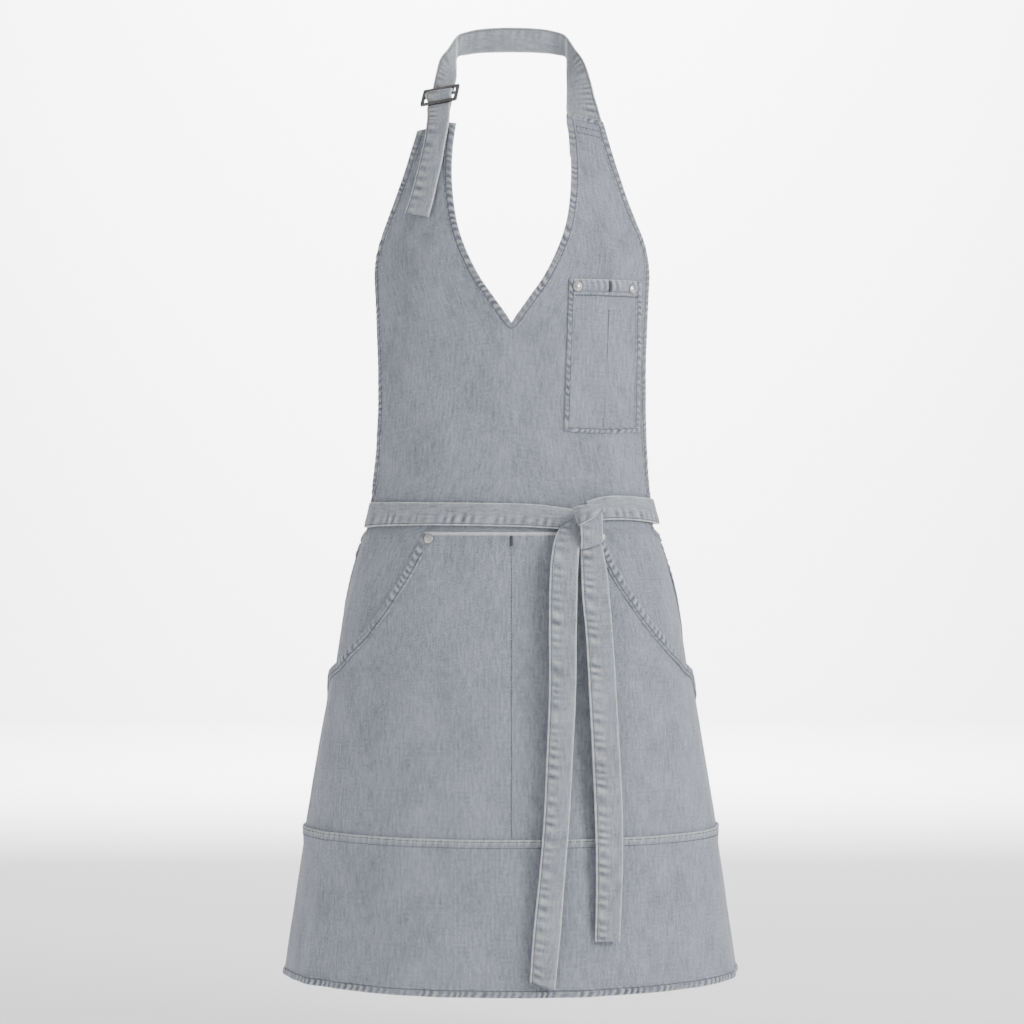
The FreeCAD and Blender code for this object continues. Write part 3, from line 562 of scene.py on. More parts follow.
for side, label in ((-1, "left"), (1, "right")):
    edge = [peak_spot(side, 1, level) for level in np.linspace(HIP_SPLIT + 0.001, PEAK_TOP[side], 64)]
    rows = edge_rows(edge if side > 0 else edge[::-1], HEM_WIDTH)
    hem, guide = tape(f"armhole_hem_{label}", rows, HEM_THICK, HEM_SECTION, (0, -0.02, -0.3), seed=2.1 + side)
    finish_with(hem, denim_hem)
    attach(hem, "bib")
    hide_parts(f"armhole_facing_{label}")
    bib_seams.append(seam_on(guide, HEM_STITCH, HEM_RISE))

skirt_levels = np.linspace(HEM + 0.002, HIP_SPLIT - 0.001, 60)
skirt_seams = []
for side, label in ((-1, "left"), (1, "right")):
    edge = [(side * side_turn(level), level) for level in skirt_levels]
    rows = edge_rows(edge if side > 0 else edge[::-1], HEM_WIDTH + 0.001)
    hem, guide = tape(f"skirt_side_hem_{label}", rows, 0.0030, HEM_SECTION, (0, -0.06, -0.75),
                      seed=5.1 + side)
    finish_with(hem, denim_hem)
    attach(hem, "skirt")
    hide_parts(f"side_hem_{label}")
    skirt_seams.append(seam_on(guide, HEM_STITCH, HEM_RISE))

# ---------------------------------------------------------------- chest pocket
# A patch pocket on the wearer's left, hemmed along the top and folded under round the other three sides.
# A row of stitches from a bar tack to the foot parts off a slot for a pencil.

CHEST = {"top": (0.0587, 0.1308, -0.2672), "foot": (0.0538, 0.1286, -0.4184)}
CHEST_WIDE, CHEST_TALL = 0.0735, 0.1512
CHEST_OUT, DIVIDER, CHEST_HEM = 0.0030, 0.0985, 0.0155


def chest_spot(u, v, lift=0.0):
    """A place on the chest pocket: u runs from its left to its right edge, v from its foot to its top."""
    left = CHEST["foot"][0] + (CHEST["top"][0] - CHEST["foot"][0]) * v
    right = CHEST["foot"][1] + (CHEST["top"][1] - CHEST["foot"][1]) * v
    level = CHEST["foot"][2] + (CHEST["top"][2] - CHEST["foot"][2]) * v
    level -= 0.0016 * (1 - v) * math.sin(math.pi * u)
    level += 0.0010 * v * u
    across = left + (right - left) * u
    belly = 0.0014 * max(0, math.sin(math.pi * u)) * max(0, math.sin(math.pi * min(max(v, 0), 1))) ** 0.5
    valley = 0.0011 * math.exp(-((across - DIVIDER) / 0.0035) ** 2) * (v < 0.87)
    gape = 0.0016 * max(0, v - 0.8) / 0.2 * math.sin(math.pi * u)
    out = CHEST_OUT + belly - valley + gape + lift
    return turn_at(across, level, out), level, out


rows, wear_and_shade = [], []
for v in np.linspace(0, 1, 64):
    rows.append([on_cloth(*chest_spot(u, v)) for u in np.linspace(0, 1, 40)])
    wear_and_shade.append([0.25 * (v > 0.985)] * 40)
chest_pocket = cloth_grid("chest_pocket_cloth", rows, 0.0013, wear_and_shade)
finish_with(chest_pocket, denim_pocket)
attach(chest_pocket, "bib")
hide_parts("chest_pocket")


def chest_edge(places, width, lift=0.0004):
    """Two edge lines for the folded rim of the pocket along a list of (u, v, inwards u, inwards v)."""
    proud = 0.0006
    result = []
    for u, v, du, dv in places:
        du, dv = du / CHEST_WIDE, dv / CHEST_TALL
        outer = on_cloth(*chest_spot(u - du * proud, v - dv * proud, lift - 0.001))
        inner = on_cloth(*chest_spot(u + du * width, v + dv * width, lift - 0.0005))
        result.append((*outer, *inner))
    return result


rim_places = [(0, v, 1, 0) for v in np.linspace(1, 0.03, 24)]
rim_places += [(0, 0, 0.75, 0.75)]
rim_places += [(u, 0, 0, 1) for u in np.linspace(0.05, 0.95, 16)]
rim_places += [(1, 0, -0.75, 0.75)]
rim_places += [(1, v, -1, 0) for v in np.linspace(0.03, 1, 24)]
chest_rim, rim_guide = tape("chest_pocket_rim", chest_edge(rim_places, 0.0046), 0.0030, HEM_SECTION,
                            (0, -0.03, -0.34), pucker=0.0004, seed=8.2)
finish_with(chest_rim, denim_hem)
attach(chest_rim, "bib")
bib_seams.append(seam_on(rim_guide, HEM_STITCH, HEM_RISE))
top_places = [(u, 1, 0, -1) for u in np.linspace(0.0, 1.0, 20)]
chest_top, top_guide = tape("chest_pocket_top_hem", chest_edge(top_places, CHEST_HEM), 0.0026, HEM_SECTION,
                            (0, -0.03, -0.34), pucker=0.00035, seed=9.4)
finish_with(chest_top, denim_pocket)
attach(chest_top, "bib")
hem_seam = [chest_spot(u, 1 - 0.0160 / CHEST_TALL, 0.0007)[:2] for u in np.linspace(0.02, 0.98, 30)]
bib_seams.append(seam_on_cloth(hem_seam, CHEST_OUT + 0.0022))
slot_seam = [(turn_at(DIVIDER - 0.006 * (1 - t), level, CHEST_OUT), level)
             for t, level in zip(np.linspace(1, 0, 40), np.linspace(-0.296, -0.417, 40))]
bib_seams.append(seam_on_cloth(slot_seam, CHEST_OUT + 0.0006))

# ---------------------------------------------------------------- waist pocket
# One wide patch holds both hand pockets. Its slanting, curved openings are faced with a puckered strip,
# its foot goes into the seam of the hem band, and a row of stitches down the middle parts the two
# pockets.

HAND_TOP, HAND_FOOT, HAND_BOW, HAND_END = (0.0890, -0.5205), (0.1840, -0.6640), 0.0122, -0.6950
WAIST_OUT, FACING_WIDTH = 0.0032, 0.0100


def mouth_turn(level):
    """The turn of a hand pocket's opening edge at a level."""
    if level > HAND_FOOT[1]:
        along = (HAND_TOP[1] - level) / (HAND_TOP[1] - HAND_FOOT[1])
        across = HAND_TOP[0] + (HAND_FOOT[0] - HAND_TOP[0]) * along - 4 * HAND_BOW * along * (1 - along)
        return turn_at(across, level, WAIST_OUT)
    start = turn_at(HAND_FOOT[0], HAND_FOOT[1], WAIST_OUT)
    if level > HAND_END:
        along = (HAND_FOOT[1] - level) / (HAND_FOOT[1] - HAND_END)
        return start + (side_turn(HAND_END) - 0.03 - start) * max(0, along) ** 0.8
    return side_turn(level) - 0.03


def pocket_out(turn, level, edge):
    """How far the pocket stands off the worn shape: fullest by its openings, sewn down along its middle."""
    middle = math.exp(-(turn * worn(level)[0] / 0.012) ** 2)
    near_foot = min(max((level - BAND_SEAM) / 0.10, 0), 1)
    near_top = min(max((HAND_TOP[1] - level) / 0.06, 0), 1)
    by_mouth = math.exp(-((edge - abs(turn)) * worn(level)[0] / 0.035) ** 2)
    gape = by_mouth * min(max((level - HAND_END) / 0.06, 0), 1)
    full = 0.0018 * near_foot * near_top * (1 - middle)
    return WAIST_OUT + full + 0.0030 * gape * near_foot * near_top - 0.0006 * middle * near_top


POCKET_ROWS, POCKET_COLUMNS = 150, 121
rows = []
for level in np.linspace(BAND_SEAM - 0.001, HAND_TOP[1], POCKET_ROWS):
    edge = mouth_turn(level)
    turns = np.linspace(-edge, edge, POCKET_COLUMNS)
    rows.append([on_cloth(turn, level, pocket_out(turn, level, edge)) for turn in turns])
# Its top edge, just below the tie, has worn pale.
wear_and_shade = [[0.9 * (row > POCKET_ROWS - 3)] * POCKET_COLUMNS for row in range(POCKET_ROWS)]
waist_pocket = cloth_grid("waist_pocket_cloth", rows, 0.0013, wear_and_shade)
finish_with(waist_pocket, denim_pocket)
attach(waist_pocket, "skirt")
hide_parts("waist_pocket")


def spot_on_pocket(turn, level):
    return on_cloth(turn, level, pocket_out(turn, level, mouth_turn(level)))


for side, label in ((-1, "left"), (1, "right")):
    levels = np.linspace(HAND_TOP[1], HAND_END, 56)
    points = [spot_on_pocket(side * mouth_turn(level), level) for level in levels]
    rows = []
    for k, level in enumerate(levels):
        before, after = points[max(k - 1, 0)], points[min(k + 1, len(points) - 1)]
        turn = side * mouth_turn(level)
        outward = normal_at(turn, level, WAIST_OUT)
        inward = outward.cross((after - before).normalized()) * side
        inner = points[k] - inward * FACING_WIDTH
        rows.append((*(points[k] + inward * FOLD_PROUD - outward * 0.0004), *(inner - outward * 0.0002)))
    facing, guide = tape(f"pocket_mouth_facing_{label}", rows, 0.0034, HEM_SECTION, (0, -0.05, -0.62),
                         pucker=0.0006, seed=12.5 + side)
    finish_with(facing, denim_hem)
    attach(facing, "skirt")
    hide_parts(f"pocket_facing_{label}")
    skirt_seams.append(seam_on(guide, HEM_STITCH, HEM_RISE))

middle_seam = [(0.0, level) for level in np.linspace(-0.536, BAND_SEAM, 60)]
skirt_seams.append(seam_on_cloth(middle_seam, WAIST_OUT - 0.0003))

# ---------------------------------------------------------------- hem band
# A separate band finishes the skirt. Its top edge is folded over the skirt and stitched twice, and its
# foot is turned up and stitched, puckered like the other hems.

BAND_OUT, BAND_LAP = 0.0058, 0.0015


def band_out(level):
    """How far the band stands off the worn shape: most at the seam, where it lies over the skirt."""
    below = min(max((BAND_SEAM + BAND_LAP - level) / 0.02, 0), 1)
    return BAND_OUT - 0.0036 * below


rows, wear_and_shade = [], []
for level in np.linspace(HEM, BAND_SEAM + BAND_LAP, 62):
    edge = side_turn(level)
    from_seam = BAND_SEAM + BAND_LAP - level
    row, rubs = [], []
    for turn in np.linspace(-edge, edge, 301):
        run = turn * worn(level)[0]
        drift = noise.noise(Vector((run * 30, 0, 3)))
        rope = math.sin(2 * math.pi * (run / 0.0085 + from_seam * 40 + 0.6 * drift))
        pucker = 0.00045 * math.exp(-(from_seam / 0.009) ** 2) * rope
        row.append(on_cloth(turn, level, band_out(level) + pucker))
        crest = 0.35 * max(rope, 0) * math.exp(-(from_seam / 0.008) ** 2)
        rubs.append(0.5 * math.exp(-(from_seam / 0.003) ** 2) + crest)
    rows.append(row)
    wear_and_shade.append(rubs)
hem_band = cloth_grid("hem_band_cloth", rows, 0.0013, wear_and_shade)
finish_with(hem_band, denim)
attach(hem_band, "skirt")
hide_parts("hem_band")

foot_edge = [(share * side_turn(HEM), HEM) for share in np.linspace(-1, 1, 90)]
rows = edge_rows(foot_edge, 0.0088, out=band_out(HEM) - 0.0007)
bottom_hem, foot_guide = tape("bottom_hem", rows, 0.0034, HEM_SECTION, (0, -0.06, -0.976),
                              pucker=0.0006, seed=16.4)
finish_with(bottom_hem, denim_hem)
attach(bottom_hem, "skirt")
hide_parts("hem_fold")
skirt_seams.append(seam_on(foot_guide, HEM_STITCH, HEM_RISE))
for drop in (0.0022, 0.0082):
    level = BAND_SEAM + BAND_LAP - drop
    seam = [(share * (side_turn(level) - 0.01), level) for share in np.linspace(-1, 1, 160)]
    skirt_seams.append(seam_on_cloth(seam, band_out(level) + 0.0002))

# ---------------------------------------------------------------- waist tie
# Two doubled tapes, one sewn into each side of the waist. They cross at the back, come round to the front
# and are knotted there.

TIE_THICK = 0.0021


def tie_rows(course):
    """Edge lines for a tape round the waist, from rows of degrees round, top, foot, and how far out each is."""
    rows = []
    for degrees, top, foot, out_top, out_foot in eased([(cell[0] / 100, *cell[1:]) for cell in course], 0.04):
        turn = math.radians(degrees * 100)
        rows.append((*on_cloth_plain(turn, foot, out_foot), *on_cloth_plain(turn, top, out_top)))
    return rows


def on_cloth_plain(turn, level, out):
    """A point off the worn shape without the cloth's folds, for what is pulled tight."""
    half_width, half_depth, middle = worn(level)
    return Vector(((half_width + out) * math.sin(turn), middle - (half_depth + out) * math.cos(turn), level))


LEFT_COURSE = [
    (-70, -0.4905, -0.5155, -0.0022, -0.0022), (-78, -0.4905, -0.5155, -0.0026, -0.0026),
    (-100, -0.4905, -0.5160, -0.0030, -0.0030), (-140, -0.4925, -0.5180, -0.0030, -0.0030),
    (-180, -0.4960, -0.5215, -0.0025, -0.0025), (-205, -0.5020, -0.5275, -0.0018, -0.0018),
    (-225, -0.4960, -0.5215, -0.0008, -0.0008), (-250, -0.4885, -0.5140, -0.0002, 0.0004),
    (-270, -0.4868, -0.5130, -0.0010, 0.0042), (-283, -0.4868, -0.5125, 0.0034, 0.0052),
    (-300, -0.4850, -0.5095, 0.0045, 0.0050), (-315, -0.4838, -0.5082, 0.0055, 0.0060),
    (-324, -0.4855, -0.5088, 0.0075, 0.0080), (-331, -0.4900, -0.5100, 0.0100, 0.0100),
]
RIGHT_COURSE = [
    (70, -0.4880, -0.5130, -0.0022, -0.0022), (78, -0.4880, -0.5130, -0.0026, -0.0026),
    (100, -0.4880, -0.5130, -0.0034, -0.0034), (125, -0.4820, -0.5075, -0.0034, -0.0034),
    (155, -0.4750, -0.5005, -0.0006, -0.0006), (180, -0.4830, -0.5085, 0.0004, 0.0004),
    (220, -0.4900, -0.5150, 0.0000, 0.0000), (250, -0.4905, -0.5155, 0.0000, 0.0002),
    (270, -0.4905, -0.5165, -0.0010, 0.0022), (283, -0.4907, -0.5165, 0.0034, 0.0040),
    (300, -0.4904, -0.5150, 0.0048, 0.0050), (330, -0.4908, -0.5138, 0.0056, 0.0058),
    (360, -0.4918, -0.5150, 0.0056, 0.0058), (372, -0.4935, -0.5165, 0.0064, 0.0066),
    (383, -0.4975, -0.5185, 0.0090, 0.0095), (388, -0.5000, -0.5200, 0.0110, 0.0115),
]
tie_seams = []
for label, course, seed in (("left", LEFT_COURSE, 20.1), ("right", RIGHT_COURSE, 23.7)):
    band, guide = tape(f"waist_tie_tape_{label}", tie_rows(course), TIE_THICK, TAPE_SECTION,
                       (0, -0.076, -0.502), pucker=0.0005, seed=seed)
    finish_with(band, denim_tape)
    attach(band, "bib")
    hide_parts(f"waist_tie_{label}")
    tie_seams.append(seam_on(guide, TAPE_STITCH, TAPE_RISE))

# ---------------------------------------------------------------- knot and hanging ends
# The tapes are knotted once over the wearer's left hip. One turn runs down behind, the other crosses over
# it on the slant, and the two ends hang free down the front, one a little longer than the other.

FOLD_THICK, STRAP_THICK = 0.0034, 0.0023
KNOT_DOWN = [
    (0.0640, -0.1780, -0.4970, 0.0900, -0.1720, -0.4960),
    (0.0660, -0.1840, -0.5030, 0.0908, -0.1780, -0.5020),
    (0.0685, -0.1872, -0.5130, 0.0910, -0.1805, -0.5100),
    (0.0693, -0.1885, -0.5240, 0.0910, -0.1812, -0.5200),
    (0.0693, -0.1872, -0.5320, 0.0910, -0.1795, -0.5262),
    (0.0692, -0.1825, -0.5368, 0.0907, -0.1755, -0.5300),
    (0.0690, -0.1740, -0.5362, 0.0900, -0.1680, -0.5296),
]
KNOT_OVER = [
    (0.0660, -0.1760, -0.5110, 0.0630, -0.1760, -0.4980),
    (0.0685, -0.1850, -0.5140, 0.0625, -0.1840, -0.4955),
    (0.0720, -0.1920, -0.5122, 0.0680, -0.1900, -0.4938),
    (0.0790, -0.1930, -0.5080, 0.0770, -0.1905, -0.4930),
    (0.0860, -0.1895, -0.5035, 0.0850, -0.1870, -0.4926),
    (0.0912, -0.1835, -0.5003, 0.0905, -0.1800, -0.4924),
    (0.0925, -0.1740, -0.5000, 0.0920, -0.1700, -0.4930),
]
knot_down, _ = tape("knot_turn_down", KNOT_DOWN, FOLD_THICK, TAPE_SECTION, (0.076, -0.165, -0.515),
                    pucker=0.0004, seed=31.0)
knot_over, _ = tape("knot_turn_over", KNOT_OVER, FOLD_THICK, TAPE_SECTION, (0.076, -0.165, -0.505),
                    pucker=0.0004, seed=33.0)
for turn_piece in (knot_down, knot_over):
    finish_with(turn_piece, denim_tape)
    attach(turn_piece, "bib")
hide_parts("waist_knot")

# Each hanging end from the knot down: left edge across and level, right edge across and level, and its
# depth.
LONG_END = [
    (0.0560, -0.5120, 0.0690, -0.5030, -0.1690), (0.0470, -0.5185, 0.0690, -0.5170, -0.1760),
    (0.0420, -0.5320, 0.0685, -0.5310, -0.1830), (0.0383, -0.5592, 0.0662, -0.5592, -0.1930),
    (0.0372, -0.6126, 0.0648, -0.6126, -0.2040), (0.0371, -0.6785, 0.0638, -0.6785, -0.2130),
    (0.0345, -0.7440, 0.0605, -0.7440, -0.2190), (0.0316, -0.8049, 0.0571, -0.8049, -0.2240),
    (0.0270, -0.8603, 0.0526, -0.8603, -0.2300), (0.0211, -0.9169, 0.0480, -0.9179, -0.2350),
    (0.0181, -0.9616, 0.0427, -0.9694, -0.2390),
]
SHORT_END = [
    (0.0700, -0.5230, 0.0890, -0.5180, -0.1660), (0.0690, -0.5370, 0.0905, -0.5320, -0.1730),
    (0.0695, -0.5594, 0.0955, -0.5594, -0.1820), (0.0706, -0.5862, 0.0980, -0.5862, -0.1900),
    (0.0741, -0.6259, 0.1010, -0.6259, -0.1960), (0.0769, -0.6792, 0.1042, -0.6792, -0.2030),
    (0.0800, -0.7420, 0.1076, -0.7420, -0.2080), (0.0826, -0.8063, 0.1103, -0.8063, -0.2110),
    (0.0835, -0.8621, 0.1098, -0.8621, -0.2150), (0.0824, -0.9240, 0.1071, -0.9250, -0.2190),
]
HANGING = [
    ("long", LONG_END, 0.16, 41.0, -0.5330, -0.5520),
    ("short", SHORT_END, 0.32, 44.0, -0.5330, -0.5540),
]
for label, course, slant, seed, hold, free in HANGING:
    rows = []
    for left, left_level, right, right_level, depth in course:
        swing = (right - left) / 2 * slant
        rows.append((left, depth - swing, left_level, right, depth + swing, right_level))
    end, guide = tape(f"{label}_end_tape", rows, STRAP_THICK, TAPE_SECTION, (0.06, 0.2, -0.75),
                      pucker=0.0005, seed=seed)
    finish_with(end, denim_tape)
    seams = [seam_on(guide, TAPE_STITCH, TAPE_RISE, start=0.03, side=side) for side in (1, -1)]
    stitches = sewn(f"{label}_end_stitching", seams)
    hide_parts(f"{label}_tie_tail")
    for part in (end, stitches):
        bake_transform(part)

# ---------------------------------------------------------------- neck strap, buckle and tab
# A doubled strap is sewn behind the wearer's left peak, goes round the neck, down behind the buckle's top
# bar, over its middle bar and out below. A short tab sewn behind the other peak holds the buckle by that
# bar.

STRAP_HALF = 0.0125
BUCKLE_AT = Vector((-0.0736, -0.0910, -0.0714))
BUCKLE_ACROSS = Vector((0.941, -0.310, 0.130)).normalized()
BUCKLE_UP = Vector((0.165, 0.676, 0.718))
BUCKLE_UP = (BUCKLE_UP - BUCKLE_ACROSS * BUCKLE_UP.dot(BUCKLE_ACROSS)).normalized()
BUCKLE_OUT = BUCKLE_ACROSS.cross(BUCKLE_UP)


def in_buckle(across, up, out):
    """A place by the buckle, measured from its middle."""
    return BUCKLE_AT + BUCKLE_ACROSS * across + BUCKLE_UP * up + BUCKLE_OUT * out


# The strap's outer edge and inner edge, from the seam to the middle of the back of the neck.
STRAP_COURSE = [
    (0.0940, -0.1180, -0.1400, 0.0590, -0.1300, -0.1360),
    (0.0940, -0.1195, -0.1120, 0.0572, -0.1310, -0.1050),
    (0.0895, -0.1020, -0.0885, 0.0560, -0.1130, -0.0885),
    (0.0860, -0.0860, -0.0730, 0.0564, -0.0935, -0.0765),
    (0.0820, -0.0650, -0.0515, 0.0570, -0.0710, -0.0610),
    (0.0758, -0.0420, -0.0287, 0.0573, -0.0470, -0.0470),
    (0.0665, -0.0240, -0.0125, 0.0580, -0.0260, -0.0365),
    (0.0575, -0.0090, 0.0027, 0.0578, -0.0090, -0.0210),
    (0.0480, -0.0015, 0.0083, 0.0480, -0.0015, -0.0165),
    (0.0300, 0.0010, 0.0120, 0.0300, 0.0010, -0.0140),
    (0.0000, 0.0012, 0.0133, 0.0000, 0.0012, -0.0133),
]


def mirrored(row):
    """The same edges on the other side of the neck."""
    return (-row[0], row[1], row[2], -row[3], row[4], row[5])


course = STRAP_COURSE + [mirrored(row) for row in STRAP_COURSE[-2:4:-1]]
for up, out in ((0.0170, -0.0040), (0.0098, -0.0043)):
    course.append((*in_buckle(-STRAP_HALF, up, out), *in_buckle(STRAP_HALF, up, out)))
strap, strap_guide = tape("neck_strap_tape", course, STRAP_THICK, TAPE_SECTION, seed=51.0, pucker=0.0005)
# It turns sharply at either side of the neck, and those folds have worn pale.
for vertex, rub_and_shade in zip(strap.data.vertices, strap.data.attributes["wear_and_shade"].data):
    if vertex.co.y > -0.030:
        rub_and_shade.value = max(rub_and_shade.value, math.exp(-((abs(vertex.co.x) - 0.0578) / 0.0011) ** 2))
finish_with(strap, denim_tape)
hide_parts("neck_strap")
strap_seams = [seam_on(strap_guide, TAPE_STITCH, TAPE_RISE, side=side) for side in (1, -1)]
strap_stitching = sewn("neck_strap_stitching", strap_seams)
for part in (strap, strap_stitching):
    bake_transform(part)

PEAK_ACROSS = Vector((0.9, -0.38, -0.14)).normalized()
# The free end goes over the buckle's middle bar and down behind its lower one: each place up and out.
END_LOOP = [
    (0.0100, -0.0030), (0.0066, -0.0012), (0.0044, 0.0022), (0.0016, 0.0038), (-0.0016, 0.0038),
    (-0.0044, 0.0022), (-0.0066, -0.0012), (-0.0105, -0.0030), (-0.0170, -0.0022),
]
course = []
for up, out in END_LOOP:
    half = STRAP_HALF + 0.0022 * math.exp(-(up / 0.0060) ** 2)
    course.append((*in_buckle(-half, up, out), *in_buckle(half, up, out)))
# Below the buckle the free end hangs over the peak: left and right edges across and level, and its depth.
HANGS = [
    (-0.0862, -0.0965, -0.0630, -0.0950, -0.1180), (-0.0866, -0.1075, -0.0634, -0.1060, -0.1345),
    (-0.0888, -0.1246, -0.0668, -0.1246, -0.1375), (-0.0934, -0.1448, -0.0700, -0.1448, -0.1410),
    (-0.0980, -0.1651, -0.0745, -0.1651, -0.1445), (-0.1035, -0.1854, -0.0790, -0.1860, -0.1475),
    (-0.1082, -0.1985, -0.0836, -0.2030, -0.1505),
]
for left, left_level, right, right_level, depth in HANGS:
    course.append((left, depth + 0.0045, left_level, right, depth - 0.0045, right_level))
strap_end, end_guide = tape("strap_end_tape", course, STRAP_THICK, TAPE_SECTION, seed=57.0, pucker=0.0005)
finish_with(strap_end, denim_tape)
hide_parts("strap_tail")
end_seams = [seam_on(end_guide, TAPE_STITCH, TAPE_RISE, start=0.045, side=side) for side in (1, -1)]
tail_stitching = sewn("strap_end_stitching", end_seams)
for part in (strap_end, tail_stitching):
    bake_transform(part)

TAB_HALF = 0.0119
# The tab goes round the same bar from the front to the back, and down behind the peak.
TAB_LOOP = [
    (0.0010, 0.0022), (0.0024, 0.0004), (0.0016, -0.0018),
    (-0.0020, -0.0040), (-0.0070, -0.0064), (-0.0180, -0.0064),
]
course = []
for up, out in TAB_LOOP:
    course.append((*in_buckle(-TAB_HALF, up, out), *in_buckle(TAB_HALF, up, out)))
for x, y, z in ((-0.0750, -0.1235, -0.1030), (-0.0755, -0.1245, -0.1150), (-0.0765, -0.1260, -0.1320)):
    spot = Vector((x, y, z))
    course.append((*(spot - PEAK_ACROSS * TAB_HALF), *(spot + PEAK_ACROSS * TAB_HALF)))
tab, _ = tape("buckle_tab_tape", course, 0.0020, TAPE_SECTION, seed=61.0, pucker=0.0003)
finish_with(tab, denim_tape)
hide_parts("buckle_tab")
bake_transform(tab)

# The buckle is a flat frame with a middle bar, cut from plate, rounded over and blackened.
BUCKLE_WIDE, BUCKLE_TALL, RIM_WIDTH, PLATE = 0.0400, 0.0262, 0.0036, 0.0022
bpy.ops.object.select_all(action="DESELECT")
bpy.ops.mesh.primitive_plane_add(size=1)
buckle = bpy.context.active_object
buckle.name = "buckle_frame"
buckle.scale = (BUCKLE_WIDE, BUCKLE_TALL, 1)
bpy.ops.object.transform_apply(location=False, rotation=False, scale=True)
bpy.ops.object.mode_set(mode="EDIT")
bpy.ops.mesh.select_all(action="SELECT")
bpy.ops.mesh.bevel(offset=0.0020, segments=4, affect="VERTICES")
bpy.ops.mesh.select_all(action="SELECT")
bpy.ops.mesh.inset(thickness=RIM_WIDTH)
bpy.ops.mesh.delete(type="FACE")
bpy.ops.mesh.select_all(action="DESELECT")
bpy.ops.mesh.primitive_plane_add(size=1)
bpy.ops.transform.resize(value=(0.0345, 0.0026, 1))
bpy.ops.mesh.select_all(action="SELECT")
bpy.ops.object.mode_set(mode="OBJECT")
plate = buckle.modifiers.new("plate", "SOLIDIFY")
plate.thickness = PLATE
plate.offset = 0
bpy.ops.object.modifier_apply(modifier=plate.name)
rounding = buckle.modifiers.new("rounding", "BEVEL")
rounding.width = 0.0008
rounding.segments = 3
rounding.limit_method = "ANGLE"
rounding.angle_limit = math.radians(50)
bpy.ops.object.modifier_apply(modifier=rounding.name)
turn = Matrix((BUCKLE_ACROSS, BUCKLE_UP, BUCKLE_OUT)).transposed()
buckle.data.transform(Matrix.Translation(BUCKLE_AT) @ turn.to_4x4())
bpy.ops.object.shade_smooth_by_angle(angle=math.radians(40))


def metal(name, colour, rough):
    """A worn metal: its colour and polish vary in fine rubbed patches."""
    finish, tree, shader = plain_finish(name)
    place = node(tree, "ShaderNodeTexCoord", {}).outputs["Object"]
    rubbing = node(tree, "ShaderNodeTexNoise", {"Vector": place, "Scale": 420, "Detail": 6}).outputs["Fac"]
    shade = node(tree, "ShaderNodeValToRGB", {"Fac": rubbing})
    dull, bright = shade.color_ramp.elements
    dull.position, bright.position = 0.35, 0.70
    dull.color = (*[part * 0.76 for part in colour], 1)
    bright.color = (*[min(1, part * 1.36) for part in colour], 1)
    rubbed = {"Value": rubbing, "To Min": rough - 0.08, "To Max": rough + 0.12}
    polish = node(tree, "ShaderNodeMapRange", rubbed)
    grain = node(tree, "ShaderNodeBump", {"Height": rubbing, "Strength": 0.15, "Distance": 0.0001})
    feed(tree, shader, {"Base Color": shade.outputs["Color"], "Roughness": polish.outputs["Result"],
                        "Normal": grain.outputs["Normal"], "Metallic": 1.0})
    return finish


gunmetal = metal("blackened_plate", (0.150, 0.148, 0.145), 0.42)
nickel = metal("aged_nickel", (0.50, 0.50, 0.49), 0.30)
finish_with(buckle, gunmetal)
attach(buckle, "buckle")
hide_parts("slide_buckle")

# ---------------------------------------------------------------- strap seam
# Behind the wearer's left peak the strap's end is folded and held by a box of stitches, and by a patch
# inside.

patch_rows = []
for v in np.linspace(0, 1, 14):
    row = []
    for u in np.linspace(0, 1, 16):
        across = 0.0610 + 0.0300 * u + 0.0030 * (1 - v) * u
        level = -0.1400 + 0.0270 * v - 0.0040 * u
        row.append(on_cloth(turn_at(across, level), level, -0.0042))
    patch_rows.append(row)
patch = cloth_grid("strap_seam_patch_cloth", patch_rows, 0.0012)
finish_with(patch, denim_hem)
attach(patch, "bib")
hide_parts("strap_seam_patch")


def slanted(start, end, count=24):
    """Turns and levels along a straight line across the cloth, from (across, level) to (across, level)."""
    spots = []
    for t in np.linspace(0, 1, count):
        across, level = start[0] + (end[0] - start[0]) * t, start[1] + (end[1] - start[1]) * t
        spots.append((turn_at(across, level), level))
    return spots


BOX = [(0.0645, -0.1082), (0.0895, -0.1137), (0.0903, -0.1198), (0.0655, -0.1148), (0.0645, -0.1082)]
for start, end in zip(BOX, BOX[1:]):
    bib_seams.append(seam_on_cloth(slanted(start, end), 0.0017))
# The peaks' top edges are folded too.
for side in (-1, 1):
    tops = [peak_spot(side, share, PEAK_TOP[side]) for share in np.linspace(0.03, 0.97, 24)]
    rows = edge_rows(tops[::-1] if side > 0 else tops, 0.0065)
    label = "right" if side > 0 else "left"
    peak, _ = tape(f"peak_fold_{label}", rows, 0.0026, HEM_SECTION, (0, -0.02, -0.12),
                   pucker=0.0004, seed=71 + side)
    finish_with(peak, denim_hem)
    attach(peak, "bib")

bib_stitching = sewn("bib_stitching", bib_seams)
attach(bib_stitching, "bib")
skirt_stitching = sewn("skirt_stitching", skirt_seams)
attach(skirt_stitching, "skirt")
tie_stitching = sewn("tie_stitching", tie_seams)
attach(tie_stitching, "bib")

# ---------------------------------------------------------------- rivets and bar tacks
# Domed nickel rivets hold the corners where the pockets take the strain, each with a washer on the back
# of the cloth. Close zigzag bars of thread end the rows of stitches that part the pockets.

RIVET_SIDE = [
    (0.0, 0.0019), (0.0014, 0.00185), (0.0029, 0.0014), (0.0036, 0.0009), (0.0041, 0.00095),
    (0.0047, 0.0006), (0.0048, 0.0001), (0.0044, -0.0003), (0.0013, -0.0003),
]
SHANK = [(0.0013, -0.0070), (0.0034, -0.0070), (0.0034, -0.0078), (0.0, -0.0078)]
